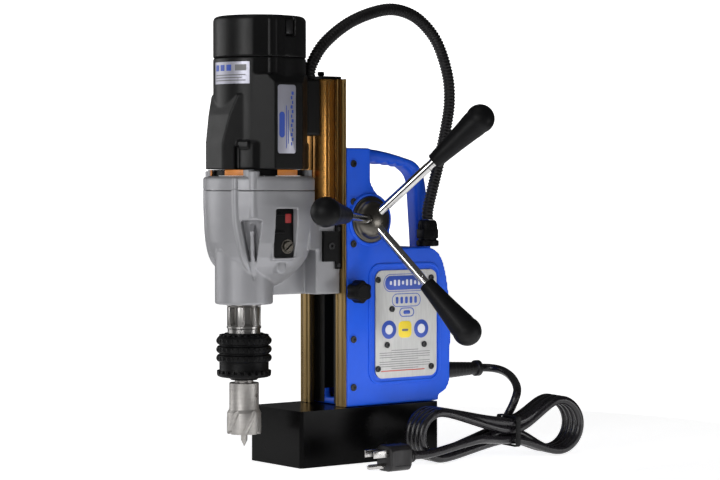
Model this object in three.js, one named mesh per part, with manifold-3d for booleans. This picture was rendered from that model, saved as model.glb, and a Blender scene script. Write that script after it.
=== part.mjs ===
// Magnetic drill press: an electromagnet base, a cast housing with a carrying handle, a rack-fed
// carriage with motor, gearbox and annular cutter, a three-arm capstan, and a mains lead.
// Millimetres, +Z up. The origin is the centre of the magnet's lower face. The cutter is on the -Y
// side, the handle and the mains lead on the +Y side, the capstan on the +X side.
import * as THREE from "three";
import { mergeVertices } from "three/addons/utils/BufferGeometryUtils.js";
import Module from "manifold-3d";

const wasm = await Module();
wasm.setup();

// ---------------------------------------------------------------- driving dimensions
const GAP = 0.3; // between pieces that touch
const ROUND = 24; // sides of a turned piece

const BASE = { width: 80, length: 160, height: 51.4, corner: 3 };
const COIL = { inner: [40, 120], outer: [64, 144], top: 30, bottom: 6 };

const HOUSING = { side: 35, wall: 4, coverSplit: -31, bottom: BASE.height + GAP, top: 289.5 };
const FRONT = -24.7; // front edge of the housing
const BED = -18.7; // face of the housing behind the slide
const BED_BACK = -12; // inner side of that wall
const SLOT = { half: 7.2, bottom: 58 }; // slot that the rack runs in
const HANDLE = { left: -9, right: 11 };

const RAIL = { outer: 35, inner: 20, front: -26.5, lip: 1.5, back: -19, top: 352 };
const SLIDE = { half: 19.5, front: -42, back: -19.3, flange: 22, bottom: 156, top: 352 };
const RACK = { half: 6, back: -19, module: 1.5, bottom: 161, top: 348 };
const PINION_TEETH = 18;
const PINION_RADIUS = (RACK.module * PINION_TEETH) / 2;

const HUB = { x: 38, y: 1.5, z: 223.5, radius: 21.2 };
const RACK_LINE = HUB.y - PINION_RADIUS; // pitch line of the rack
const ARM = { lean: 54.5, first: 55.5, rod: 4.2, root: 14, gripStart: 79, ball: 137, ballRadius: 13.3 };

const SPINDLE_Y = -114.5;
const MOTOR_Y = -97;
const BLOCK = { half: 27.5, front: -54, back: -27, bottom: 155.7, top: 238 };
const WEB = 9.5;
const GEARBOX = { bottom: 148, nose: 26.2, noseTop: 205, wide: 49.8, split: 250.5, top: 263.4 };
const POSTS = { radius: 5, out: 42.5, angles: [-48, -132, 48, 132] };
const MOTOR = { bottom: 269.3, band: 44.5, bandTop: 293, body: 42, split: 369.3, top: 407 };
const HOOD = { front: 49.8, half: 13.4, rootHalf: 24.3, root: 34.2, rampTop: 336, rampOut: 38 };

// the gear train: armature pinion, idler gear and idler pinion, spindle gear
const TRAIN = {
  pressure: 25,
  fine: 0.7,
  coarse: 1,
  motorTeeth: 12,
  idlerTeeth: 46,
  idlerPinionTeeth: 12,
  spindleTeeth: 38,
};

const SELECTOR = { y: -96.3, z: 200.5 };

const PANEL = { y: [18, 78], z: [82, 168], back: -35.3, front: -38.5 };
const SWITCH = { x: -37.3, y: 48, z: 148, tilt: 7 };
const BUTTONS = { y: [33, 63], z: 108, radius: 9 };

const GLAND = { x: 22, y: 81, bottom: 197.3, top: 222 };
const HOSE = { radius: 5.7 };
const RELIEF = { x: 15, z: 77.5, start: 98.9, end: 151 };
const CORD = { radius: 3.9 };

// the tied hank stands on its edge beside the base
const HANK = { x: 98, y: 101, z: 29, heading: 81.2, thick: 15.5, tie: 14 };
const PLUG = { x: 102, y: -22, z: 12.3, heading: 270, long: 24, tall: 23.4, thick: 22 };

// ---------------------------------------------------------------- solids
const finish = (color, roughness, metalness) =>
  new THREE.MeshStandardMaterial({ color, roughness, metalness });
const FINISH = {
  blue: finish(0x1f46b8, 0.38, 0),
  casting: finish(0x9a9ca0, 0.4, 0.6),
  black: finish(0x131416, 0.55, 0),
  gloss: finish(0x070708, 0.15, 0),
  gold: finish(0x9c7a34, 0.28, 0.9),
  steel: finish(0xb4b4b0, 0.3, 1),
  chrome: finish(0xd6d8da, 0.08, 1),
  copper: finish(0xb06a3a, 0.35, 1),
  bronze: finish(0xa5803e, 0.4, 1),
  rubber: finish(0x101012, 0.6, 0),
  orange: finish(0xd6863a, 0.5, 0),
  red: finish(0xb01818, 0.4, 0),
  green: finish(0x1c7a34, 0.4, 0),
  board: finish(0x1d5a34, 0.6, 0),
};

// A closed geometry as a manifold solid.
function solid(geometry) {
  const plain = geometry.clone();
  plain.deleteAttribute("normal");
  plain.deleteAttribute("uv");
  const merged = mergeVertices(plain, 1e-4);
  const mesh = new wasm.Mesh({
    numProp: 3,
    vertProperties: merged.attributes.position.array,
    triVerts: new Uint32Array(merged.index.array),
  });
  return new wasm.Manifold(mesh);
}

// A manifold solid as a geometry, flat shaded.
function geometryOf(body) {
  const mesh = body.getMesh();
  const geometry = new THREE.BufferGeometry();
  geometry.setAttribute("position", new THREE.BufferAttribute(mesh.vertProperties, 3));
  geometry.setIndex(new THREE.BufferAttribute(mesh.triVerts, 1));
  const flat = geometry.toNonIndexed();
  flat.computeVertexNormals();
  return flat;
}

const join = (first, ...others) => others.reduce((sum, other) => sum.add(other), first);
const cut = (first, ...others) => others.reduce((rest, other) => rest.subtract(other), first);

// A box from its lowest to its highest corner.
function box(low, high) {
  const size = high.map((value, i) => value - low[i]);
  const middle = high.map((value, i) => (value + low[i]) / 2);
  return solid(new THREE.BoxGeometry(...size).translate(...middle));
}

// Columns of the matrices that carry a drawing plane and its extrusion into the part's frame:
// a Z prism is drawn in X, Y; an X prism in Y, Z; a Y prism in X, Z, extruded towards -Y.
const PLANES = {
  x: new THREE.Matrix4().set(0, 0, 1, 0, 1, 0, 0, 0, 0, 1, 0, 0, 0, 0, 0, 1),
  y: new THREE.Matrix4().set(1, 0, 0, 0, 0, 0, -1, 0, 0, 1, 0, 0, 0, 0, 0, 1),
  z: new THREE.Matrix4(),
};

// An outline extruded along an axis between two coordinates.
function prism(axis, outline, from, to, curveSegments = 6) {
  const flat = new THREE.ExtrudeGeometry(outline, {
    depth: to - from,
    bevelEnabled: false,
    curveSegments,
  });
  flat.translate(0, 0, axis === "y" ? -to : from);
  return solid(flat.applyMatrix4(PLANES[axis]));
}

// A profile of [radius, height] pairs, from the axis round to the axis, turned about Z.
function turned(profile, sides = ROUND) {
  const points = profile.map(([radius, height]) => new THREE.Vector2(radius, height));
  return solid(new THREE.LatheGeometry(points, sides).rotateX(Math.PI / 2));
}

const rod = (radius, from, to, sides = ROUND) =>
  turned([[0, from], [radius, from], [radius, to], [0, to]], sides);

// A ring about Z: a closed rectangle turned about the axis.
const ring = (inner, outer, from, to, sides = ROUND) =>
  cut(rod(outer, from, to, sides), rod(inner, from - 1, to + 1, sides));

// Turns a solid made about Z so that its axis lies along +X or +Y.
const alongX = (body) => body.rotate([0, 90, 0]);
const alongY = (body) => body.rotate([-90, 0, 0]);

function polygon(points) {
  return new THREE.Shape(points.map(([u, v]) => new THREE.Vector2(u, v)));
}

function roundedRectangle(width, height, radius) {
  const shape = new THREE.Shape();
  const [x, y] = [width / 2 - radius, height / 2 - radius];
  shape.absarc(x, y, radius, 0, Math.PI / 2);
  shape.absarc(-x, y, radius, Math.PI / 2, Math.PI);
  shape.absarc(-x, -y, radius, Math.PI, 1.5 * Math.PI);
  shape.absarc(x, -y, radius, 1.5 * Math.PI, 2 * Math.PI);
  return shape;
}

// An involute spur gear with the middle of one tooth on the local +X axis.
function gearOutline(teeth, module, pressureDegrees, slack = 0.12) {
  const pressure = THREE.MathUtils.degToRad(pressureDegrees);
  const involute = (angle) => Math.tan(angle) - angle;
  const pitch = (module * teeth) / 2;
  const baseRadius = pitch * Math.cos(pressure);
  const root = pitch - 1.25 * module;
  const tip = pitch + 0.95 * module;
  const halfTooth = (radius) => {
    const angle = Math.acos(Math.min(1, baseRadius / radius));
    return Math.PI / (2 * teeth) - slack / (2 * pitch) + involute(pressure) - involute(angle);
  };
  const start = Math.max(baseRadius, root);
  const flank = [0, 0.5, 1].map((t) => start + (tip - start) * t);
  const points = [];
  for (let tooth = 0; tooth < teeth; tooth++) {
    const middle = (2 * Math.PI * tooth) / teeth;
    const place = (radius, angle) =>
      points.push([radius * Math.cos(middle + angle), radius * Math.sin(middle + angle)]);
    if (root < start - 0.01) place(root, -halfTooth(start));
    flank.forEach((radius) => place(radius, -halfTooth(radius)));
    flank.toReversed().forEach((radius) => place(radius, halfTooth(radius)));
    if (root < start - 0.01) place(root, halfTooth(start));
  }
  return polygon(points);
}

function part(name, body, material, parent) {
  const geometry = body instanceof THREE.BufferGeometry ? body : geometryOf(body);
  const mesh = new THREE.Mesh(geometry, material);
  mesh.name = name;
  parent.add(mesh);
  return mesh;
}

function group(parent, x = 0, y = 0, z = 0) {
  const made = new THREE.Group();
  made.position.set(x, y, z);
  parent.add(made);
  return made;
}

// ---------------------------------------------------------------- magnet base
function coilRing(innerBy, from, to) {
  const [width, length] = COIL.outer.map((size) => size - 2 * innerBy);
  const outline = roundedRectangle(width, length, 6 - innerBy);
  const [coreWidth, coreLength] = COIL.inner.map((size) => size + 2 * innerBy);
  const core = roundedRectangle(coreWidth, coreLength, 6 + innerBy);
  return cut(prism("z", outline, from, to, 3), prism("z", core, from - 1, to + 1, 3));
}

function magnetYoke() {
  const outline = roundedRectangle(BASE.width, BASE.length, BASE.corner);
  return cut(prism("z", outline, 0, BASE.height, 4), coilRing(0, -1, COIL.top));
}

function addMagnet(parent) {
  part("magnet_yoke", magnetYoke(), FINISH.gloss, parent);
  part("magnet_coil", coilRing(GAP, COIL.bottom, COIL.top - GAP), FINISH.copper, parent);
  part("magnet_potting", coilRing(GAP, GAP, COIL.bottom - GAP), FINISH.black, parent);
}

// ---------------------------------------------------------------- housing
// Side view of the housing: column in front, round boss about the capstan, electrics box behind.
function housingOutline() {
  const { bottom, top } = HOUSING;
  const boss = 24.5;
  const shape = new THREE.Shape();
  shape.moveTo(FRONT, bottom);
  shape.lineTo(84, bottom);
  shape.lineTo(84, 57);
  shape.quadraticCurveTo(95, 60, 97.5, 69);
  shape.lineTo(99.2, 117);
  shape.bezierCurveTo(99.2, 140, 96, 165, 90, 182);
  shape.quadraticCurveTo(84, 197, 68, 197);
  shape.lineTo(40, 197);
  shape.quadraticCurveTo(26, 199, 25, 215);
  shape.absarc(HUB.y, HUB.z, boss, -0.35, 0.9, false);
  shape.quadraticCurveTo(4, 251, 2.5, 262);
  shape.lineTo(2.5, top);
  shape.lineTo(FRONT, top);
  return shape;
}

function handleOutline() {
  const shape = new THREE.Shape();
  shape.moveTo(-8, HOUSING.top - 0.1);
  shape.lineTo(19, HOUSING.top - 0.1);
  shape.bezierCurveTo(38, 288.5, 57, 283.5, 74, 278.8);
  shape.quadraticCurveTo(84, 275, 88.3, 262.7);
  shape.quadraticCurveTo(94, 240, 97, 190);
  shape.lineTo(81.5, 190);
  shape.quadraticCurveTo(78.5, 225, 77.3, 250);
  shape.quadraticCurveTo(76.5, 267, 62, 271);
  shape.quadraticCurveTo(48, 274.7, 10, 274.7);
  shape.lineTo(-8, 274.7);
  return shape;
}

// The room inside: electrics box, pinion chamber and the upper column.
function cavityOutline() {
  const shape = new THREE.Shape();
  shape.moveTo(BED_BACK, 57);
  shape.lineTo(80, 57);
  shape.lineTo(92, 72);
  shape.lineTo(94.5, 117);
  shape.quadraticCurveTo(94, 160, 84, 182);
  shape.lineTo(76, 192);
  shape.lineTo(24, 192);
  shape.absarc(HUB.y, HUB.z, 20, -0.6, 1, false);
  shape.lineTo(-1.5, 256);
  shape.lineTo(-1.5, 285);
  shape.lineTo(BED_BACK, 285);
  return shape;
}

function housingBody() {
  const { side, wall, coverSplit, bottom, top } = HOUSING;
  const handle = prism("x", handleOutline(), HANDLE.left, HANDLE.right);
  const shell = join(prism("x", housingOutline(), coverSplit, side), handle);
  const inside = prism("x", cavityOutline(), coverSplit - 1, side - wall);
  const railBed = box([-27.3, FRONT - 1, bottom - 1], [27.3, BED, top + 1]);
  const rackSlot = box([-SLOT.half, BED - 1, SLOT.bottom], [SLOT.half, RACK_LINE + 2.5, top + 1]);
  const bushHole = alongX(rod(10.3, side - wall - 1, side + 1)).translate([0, HUB.y, HUB.z]);
  const lockHole = alongX(rod(2.9, 27, side + 1, 12)).translate([0, -18.5, 158]);
  return cut(shell, inside, railBed, rackSlot, bushHole, lockHole);
}

function housingCover() {
  const { side, coverSplit } = HOUSING;
  return prism("x", housingOutline(), -side, coverSplit - GAP);
}

function nameplate() {
  const outline = roundedRectangle(73, 100, 8);
  return prism("x", outline, HOUSING.side + GAP, HOUSING.side + 1.3, 4).translate([0, 44, 126]);
}

function addHousing(parent) {
  const { side, wall } = HOUSING;
  part("housing_body", housingBody(), FINISH.blue, parent);
  part("housing_cover", housingCover(), FINISH.blue, parent);
  part("nameplate", nameplate(), FINISH.steel, parent);
  const bush = alongX(ring(6.3, 10, side - wall, side));
  part("pinion_bush", bush, FINISH.bronze, group(parent, 0, HUB.y, HUB.z));
  part("control_board", box([11, 14, 80], [13, 84, 176]), FINISH.board, parent);
}

// ---------------------------------------------------------------- column rails
// Plan of the +X rail: a lip in front, and a leg that the slide's flange runs behind.
function railOutline() {
  const { outer, inner, front, lip, back } = RAIL;
  return polygon([
    [inner, front],
    [outer, front],
    [outer, front + lip],
    [27, front + lip],
    [27, back],
    [22.6, back],
    [22.6, -22],
    [inner, -22],
  ]);
}

function addRails(parent) {
  const rail = () => prism("z", railOutline(), HOUSING.bottom, RAIL.top);
  part("rail_right", rail(), FINISH.gold, parent);
  part("rail_left", rail().mirror([1, 0, 0]), FINISH.gold, parent);
}

// ---------------------------------------------------------------- control panel
function controlPanel() {
  const { y, z, back, front } = PANEL;
  const outline = roundedRectangle(y[1] - y[0], z[1] - z[0], 5);
  const plate = prism("x", outline, front, back, 3).translate([
    0,
    (y[0] + y[1]) / 2,
    (z[0] + z[1]) / 2,
  ]);
  const rockerHole = box([front - 1, SWITCH.y - 12.5, SWITCH.z - 8], [0, SWITCH.y + 12.5, SWITCH.z + 8]);
  const buttonHoles = BUTTONS.y.map((middle) =>
    alongX(rod(BUTTONS.radius + 0.7, front - 1, 0)).translate([0, middle, BUTTONS.z]),
  );
  return cut(plate, rockerHole, ...buttonHoles);
}

function rocker() {
  const outline = polygon([
    [0, -11.4],
    [0, 11.4],
    [-4.3, 11.4],
    [-2.9, 0],
    [-4.3, -11.4],
  ]);
  return prism("z", outline, -7.4, 7.4);
}

function addControls(parent) {
  part("control_panel", controlPanel(), FINISH.black, parent);
  const rest = THREE.MathUtils.degToRad(-SWITCH.tilt);
  const pivot = group(parent, SWITCH.x, SWITCH.y, SWITCH.z);
  part("magnet_switch", rocker(), FINISH.red, pivot).rotation.z = rest;
  [["start_button", FINISH.green], ["stop_button", FINISH.red]].forEach(([name, material], i) => {
    const cap = turned([[0, 0], [BUTTONS.radius, 0], [BUTTONS.radius, 3], [7.5, 4.2], [0, 4.2]], 16);
    const button = part(name, cap, material, parent);
    button.position.set(-38.1, BUTTONS.y[i], BUTTONS.z);
    button.rotation.y = -Math.PI / 2;
  });
}

// ---------------------------------------------------------------- capstan
function pinionShaft() {
  const outline = gearOutline(PINION_TEETH, RACK.module, 20, 0.3);
  return join(prism("z", outline, -RACK.half, RACK.half), rod(6, -12, HUB.x + 5));
}

function capstanHub() {
  const dome = [];
  for (let step = 0; step <= 5; step++) {
    const angle = (step / 5) * THREE.MathUtils.degToRad(66);
    dome.push([17.5 * Math.cos(angle), 39 + 12 * Math.sin(angle)]);
  }
  const profile = [[0, 35.7], [HUB.radius, 35.7], [HUB.radius, 38.4], [17.5, 39]];
  const body = turned([...profile, ...dome.slice(1), [0, dome.at(-1)[1]]]);
  const shaftHole = rod(6.3, 35, HUB.x + 5.3);
  const sockets = [0, 1, 2].map((i) =>
    rod(ARM.rod + GAP, ARM.root, 40, 12)
      .rotate([0, ARM.lean, 0])
      .rotate([0, 0, 120 * i])
      .translate([0, 0, HUB.x]),
  );
  return cut(body, shaftHole, ...sockets);
}

function grip() {
  const { gripStart, ball, ballRadius } = ARM;
  const end = [];
  for (let step = 0; step <= 5; step++) {
    const angle = (step / 5) * (Math.PI / 2);
    end.push([ballRadius * Math.cos(angle), ball + ballRadius * Math.sin(angle)]);
  }
  end[5][0] = 0;
  const body = turned([[0, gripStart], [7.3, gripStart], [8.6, gripStart + 14], ...end], 16);
  return cut(body, rod(ARM.rod + GAP, gripStart - 1, gripStart + 30, 12));
}

// The capstan is made about local Z, which the group turns on to +X.
function addCapstan(parent) {
  const capstan = group(parent, 0, HUB.y, HUB.z);
  capstan.rotation.y = Math.PI / 2;
  const shaft = part("pinion_shaft", pinionShaft(), FINISH.steel, capstan);
  const toothAtRack = Math.PI / PINION_TEETH;
  shaft.rotation.z = -Math.PI / 2 + toothAtRack * (PINION_TEETH % 2);
  part("capstan_hub", capstanHub(), FINISH.steel, group(capstan)).rotation.z = armAngle(0);
  for (let i = 0; i < 3; i++) {
    const arm = group(capstan, 0, 0, HUB.x);
    arm.rotation.set(0, THREE.MathUtils.degToRad(ARM.lean), armAngle(i), "ZYX");
    const bar = rod(ARM.rod, ARM.root + GAP, ARM.gripStart + 29, 12);
    part(`arm_${i + 1}`, bar, FINISH.chrome, arm);
    part(`grip_${i + 1}`, grip(), FINISH.rubber, arm);
  }
}

// Angle of an arm about the capstan's local Z, whose local X axis points to the part's -Z.
const armAngle = (i) => THREE.MathUtils.degToRad(ARM.first + 120 * i) + Math.PI / 2;

function lockKnob() {
  const lobes = 6;
  const shape = new THREE.Shape();
  for (let i = 0; i < lobes * 4; i++) {
    const angle = (2 * Math.PI * i) / (lobes * 4);
    const radius = 9.7 + 0.9 * Math.cos(lobes * angle);
    const [u, v] = [radius * Math.cos(angle), radius * Math.sin(angle)];
    i ? shape.lineTo(u, v) : shape.moveTo(u, v);
  }
  return join(prism("z", shape, 39, 52), rod(5, 35.6, 39.5), rod(2.5, 28.5, 36, 12));
}

function addLockKnob(parent) {
  part("lock_knob", lockKnob(), FINISH.black, group(parent, 0, -18.5, 158)).rotation.y = Math.PI / 2;
}

// ---------------------------------------------------------------- slide
function slideOutline() {
  const { half, front, back, flange } = SLIDE;
  const corner = 6;
  const shape = new THREE.Shape();
  shape.moveTo(-flange, back);
  shape.lineTo(-flange, -21.6);
  shape.lineTo(-half, -21.6);
  shape.lineTo(-half, front + corner);
  shape.absarc(-half + corner, front + corner, corner, Math.PI, 1.5 * Math.PI, false);
  shape.absarc(half - corner, front + corner, corner, 1.5 * Math.PI, 2 * Math.PI, false);
  shape.lineTo(half, -21.6);
  shape.lineTo(flange, -21.6);
  shape.lineTo(flange, back);
  return shape;
}

// Side view of the rack, with a gap level with the capstan's axis.
function rackOutline() {
  const { back, module, bottom, top } = RACK;
  const pitch = Math.PI * module;
  const lean = Math.tan(THREE.MathUtils.degToRad(20));
  const half = pitch / 4 - 0.1;
  const root = RACK_LINE - 1.25 * module;
  const tip = RACK_LINE + 0.95 * module;
  const points = [[back, top], [back, bottom], [root, bottom]];
  const first = Math.ceil((bottom + half + 1 - HUB.z) / pitch - 0.5);
  for (let i = first; HUB.z + (i + 0.5) * pitch + half + 1 < top; i++) {
    const middle = HUB.z + (i + 0.5) * pitch;
    points.push([root, middle - half - 1.25 * module * lean]);
    points.push([tip, middle - half + 0.95 * module * lean]);
    points.push([tip, middle + half - 0.95 * module * lean]);
    points.push([root, middle + half + 1.25 * module * lean]);
  }
  points.push([root, top]);
  return polygon(points);
}

function addSlide(parent) {
  const bar = prism("z", slideOutline(), SLIDE.bottom, SLIDE.top, 4);
  const cap = box([-19.4, -41, SLIDE.top + GAP], [19.4, SLIDE.back, SLIDE.top + 2.8]);
  part("slide_bar", bar, FINISH.gold, parent);
  part("feed_rack", prism("x", rackOutline(), -RACK.half, RACK.half), FINISH.steel, parent);
  part("slide_cap", cap, FINISH.black, parent);
  const clamp = join(
    box([BLOCK.half + GAP, -47.6, 185.5], [BLOCK.half + 4, -32.5, 213]),
    box([BLOCK.half + GAP, -33, 178.5], [BLOCK.half + 2.5, -27, 218.5]),
  );
  part("clamp_block", clamp, FINISH.black, parent);
}

// ---------------------------------------------------------------- gearbox
// The bowl under the motor, turned about the motor's axis. thick is taken off all round.
function gearboxBowl(thick, top) {
  const wide = GEARBOX.wide - thick;
  return turned(
    [
      [0, 159.5 + thick * 1.5],
      [11 - thick * 0.3, 163.2 + thick * 1.4],
      [22 - thick * 0.5, 169 + thick],
      [31 - thick * 0.7, 176 + thick * 0.8],
      [43 - thick, 190.5],
      [46.7 - thick, 204],
      [48.8 - thick, 220],
      [wide, 238],
      [wide, top],
      [0, top],
    ],
    40,
  ).translate([0, MOTOR_Y, 0]);
}

// Plan of the body between the bowl and the slide block.
function shoulderOutline() {
  const half = [
    [BLOCK.half, BLOCK.back - 3],
    [BLOCK.half, -50],
    [33.5, -58.5],
    [40.5, -70],
  ];
  return polygon([...half, ...half.map(([x, y]) => [-x, y]).toReversed()].toReversed());
}

function gearboxHousing() {
  const { bottom, split } = GEARBOX;
  const { half, front, back } = BLOCK;
  const spindle = [0, SPINDLE_Y, 0];
  const bowl = gearboxBowl(0, split);
  const nose = rod(GEARBOX.nose, bottom, GEARBOX.noseTop, 36).translate(spindle);
  const shoulder = prism("z", shoulderOutline(), 197, BLOCK.top);
  const web = box([-WEB, SPINDLE_Y + 8, BLOCK.bottom], [WEB, front + 1, 215]);
  const block = box([-half, front, BLOCK.bottom], [half, back, BLOCK.top - 6]);
  const frame = box([20, -113.6, 188.5], [44, -87.6, 236.5]);
  const slideWay = box([-19.8, SLIDE.front - GAP, bottom], [19.8, back + 1, split + 1]);
  const chamber = gearboxBowl(5, split + 1);
  const bore = join(rod(22.3, bottom - 1, 172), rod(10.8, 170, 200)).translate(spindle);
  const window = box([38.7, -111.6, 190.6], [60, -89.6, 234.4]);
  return cut(join(bowl, nose, shoulder, web, block, frame), slideWay, chamber, bore, window);
}

// The posts that carry the motor above the gearbox.
function postRods(radius, from, to) {
  return POSTS.angles.map((angle) =>
    rod(radius, from, to, 12).translate([POSTS.out, 0, 0]).rotate([0, 0, angle]),
  );
}

function gearboxCover() {
  const { split, top, wide } = GEARBOX;
  const plate = cut(rod(wide, split + GAP, top, 40), rod(9, split, top + 1));
  const posts = postRods(POSTS.radius, top - 1, MOTOR.bottom - GAP);
  const idlerHole = rod(3.4, split, split + 4, 12).translate([IDLER.x, IDLER.y - MOTOR_Y, 0]);
  return cut(join(plate, ...posts), idlerHole);
}

function selectorPlate() {
  const plate = box([39, -111.3, 190.9], [42.2, -89.9, 234.1]);
  const knobHole = alongX(rod(6, 38, 44, 16)).translate([0, SELECTOR.y, SELECTOR.z]);
  return cut(plate, knobHole);
}

function speedSelector() {
  const slot = box([-1, -6, 43.8], [1, 6, 47]);
  return cut(rod(5.5, 39.2, 45.2, 16), slot);
}

// ---------------------------------------------------------------- gear train
function idlerPosition() {
  const { fine, coarse, motorTeeth, idlerTeeth, idlerPinionTeeth, spindleTeeth } = TRAIN;
  const toMotor = (fine * (motorTeeth + idlerTeeth)) / 2;
  const toSpindle = (coarse * (idlerPinionTeeth + spindleTeeth)) / 2;
  const between = MOTOR_Y - SPINDLE_Y;
  const along = (between ** 2 + toSpindle ** 2 - toMotor ** 2) / (2 * between);
  return { x: Math.sqrt(toSpindle ** 2 - along ** 2), y: SPINDLE_Y + along };
}

const IDLER = idlerPosition();

// Turn, about Z, that puts the middle of a tooth (or of a gap) in line with a direction.
function meshTurn(direction, teeth, gap) {
  return direction + (gap ? Math.PI / teeth : 0);
}

function idlerCluster() {
  const { pressure, fine, coarse, idlerTeeth, idlerPinionTeeth } = TRAIN;
  const toMotor = Math.atan2(MOTOR_Y - IDLER.y, -IDLER.x);
  const toSpindle = Math.atan2(SPINDLE_Y - IDLER.y, -IDLER.x);
  const degrees = THREE.MathUtils.radToDeg;
  const wheel = prism("z", gearOutline(idlerTeeth, fine, pressure), 232, 240).rotate([
    0,
    0,
    degrees(meshTurn(toMotor, idlerTeeth, true)),
  ]);
  const pinion = prism("z", gearOutline(idlerPinionTeeth, coarse, pressure), 212, 232.5).rotate([
    0,
    0,
    degrees(meshTurn(toSpindle, idlerPinionTeeth, true)),
  ]);
  return join(wheel, pinion, rod(3, 204, 253, 12));
}

function addGearTrain(spindle, motor, parent) {
  const { pressure, fine, coarse, motorTeeth, spindleTeeth } = TRAIN;
  part("idler_gear", idlerCluster(), FINISH.steel, group(parent, IDLER.x, IDLER.y, 0));
  const toIdlerFromSpindle = Math.atan2(IDLER.y - SPINDLE_Y, IDLER.x);
  const toIdlerFromMotor = Math.atan2(IDLER.y - MOTOR_Y, IDLER.x);
  const wheel = cut(
    prism("z", gearOutline(spindleTeeth, coarse, pressure), 214, 226),
    rod(10.3, 213, 227),
  );
  part("spindle_gear", wheel, FINISH.steel, spindle).rotation.z = toIdlerFromSpindle;
  const pinion = cut(
    prism("z", gearOutline(motorTeeth, fine, pressure), 230, 242),
    rod(2.3, 229, 243, 12),
  );
  part("motor_pinion", pinion, FINISH.steel, motor).rotation.z = toIdlerFromMotor;
}

// ---------------------------------------------------------------- motor
// The air hood on the front of the motor: a ramp over a straight-sided foot.
function motorHood() {
  const { front, half, rootHalf, root, rampTop, rampOut } = HOOD;
  const side = polygon([
    [-30, MOTOR.bottom],
    [-30, rampTop],
    [-rampOut, rampTop],
    [-front, MOTOR.bandTop],
    [-front, MOTOR.bottom],
  ]);
  const plan = polygon([
    [half, -front],
    [rootHalf, -root],
    [rootHalf, -28],
    [-rootHalf, -28],
    [-rootHalf, -root],
    [-half, -front],
  ]);
  return prism("x", side, -30, 30).intersect(prism("z", plan, 260, 340));
}

// The flat-faced pad on a side of the motor, with a sloped top.
function motorPad(side) {
  const { bottom } = MOTOR;
  const plan = polygon([[30, -33], [34.6, -28], [43.8, -14.5], [43.8, 15.5], [32.5, 29.5], [30, 33]]);
  const slope = polygon([[-46, bottom], [46, bottom], [46, 344], [40, 354], [-46, 354]]);
  const pad = prism("z", plan, bottom, 354).intersect(prism("y", slope, -40, 40));
  return side > 0 ? pad : pad.mirror([1, 0, 0]);
}

function motorHousing() {
  const { bottom, band, bandTop, body, split } = MOTOR;
  const shell = turned(
    [[0, bottom], [band, bottom], [band, bandTop], [body, bandTop + 1.5], [body, split], [0, split]],
    36,
  );
  const entry = box([4.5, 35, 300], [19.5, 54.5, 352]);
  const hoseHole = rod(HOSE.radius + 0.8, 342, 353, 16).translate([12, 46.6, 0]);
  const inside = turned(
    [[0, bottom - 1], [41, bottom - 1], [41, 288], [38.5, 296], [38.5, split + 1], [0, split + 1]],
    36,
  );
  return cut(join(shell, motorHood(), motorPad(-1), motorPad(1), entry), inside, hoseHole);
}

function motorCap() {
  const { body, split, top } = MOTOR;
  const edge = [[body, top - 5], [body - 3, top - 1], [body - 12, top], [0, top]];
  const outer = turned([[0, split + GAP], [body, split + GAP], ...edge], 36);
  const inner = turned([[0, split - 1], [37.5, split - 1], [37.5, top - 9], [0, top - 9]], 36);
  const bearing = cut(rod(8, top - 17, top - 8), rod(3.4, top - 18, top - 10, 12));
  return join(cut(outer, inner), bearing);
}

function stator() {
  return cut(rod(37.8, 300, 352, 24), rod(21.2, 299, 353, 24));
}

function armatureBody() {
  return turned([
    [0, 230.3],
    [2, 230.3],
    [2, 243],
    [4, 244],
    [4, 298],
    [20.5, 302],
    [20.5, 350],
    [6, 354],
    [6, 360],
    [12, 360.5],
    [12, 378],
    [3, 379],
    [3, 396],
    [0, 396],
  ]);
}

function coolingFan() {
  const blades = 9;
  const bladeSolids = [];
  for (let i = 0; i < blades; i++) {
    const blade = box([8, -0.9, 274], [33, 0.9, 284]).rotate([0, 0, (360 * i) / blades]);
    bladeSolids.push(blade);
  }
  const disc = join(rod(34, 272, 274.5), rod(8.5, 272, 286));
  return cut(join(disc, ...bladeSolids), rod(4.3, 271, 287));
}

function fanBaffle() {
  const posts = postRods(POSTS.radius + GAP, GEARBOX.top, MOTOR.bottom);
  const plate = rod(41, GEARBOX.top + GAP, MOTOR.bottom - GAP, 32);
  return cut(plate, rod(22, GEARBOX.top, MOTOR.bottom), ...posts);
}

function brush(side) {
  return box([side > 0 ? 12.4 : -30, -4, 364], [side > 0 ? 30 : -12.4, 4, 372]);
}

function addMotor(parent) {
  const motor = group(parent, 0, MOTOR_Y, 0);
  part("gearbox_cover", gearboxCover(), FINISH.casting, motor);
  part("fan_baffle", fanBaffle(), FINISH.orange, motor);
  part("motor_housing", motorHousing(), FINISH.black, motor);
  part("motor_cap", motorCap(), FINISH.black, motor);
  part("stator", stator(), FINISH.copper, motor);
  part("carbon_brush_left", brush(-1), FINISH.black, motor);
  part("carbon_brush_right", brush(1), FINISH.black, motor);
  part("armature", armatureBody(), FINISH.copper, motor);
  part("cooling_fan", coolingFan(), FINISH.black, motor);
  return motor;
}

// ---------------------------------------------------------------- spindle and cutter
function spindleShaft() {
  const outer = turned([[0, 150.6], [12, 150.6], [12, 168], [10, 170], [10, 230], [0, 230]]);
  return cut(outer, rod(4.2, 149, 205, 12));
}

// The arbor: a socket for the cutter's shank, an open cage of bars, and the disc above it.
function arbor() {
  const bars = 6;
  const cage = [];
  for (let i = 0; i < bars; i++) {
    cage.push(box([10.6, -2.1, 125], [15.2, 2.1, 147]).rotate([0, 0, (360 * i) / bars + 15]));
  }
  const socket = rod(15.8, 92, 126);
  const disc = rod(15.8, 146, 150.3);
  return cut(join(socket, disc, ...cage), rod(8.7, 91, 112), rod(4.2, 100, 152, 12));
}

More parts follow.
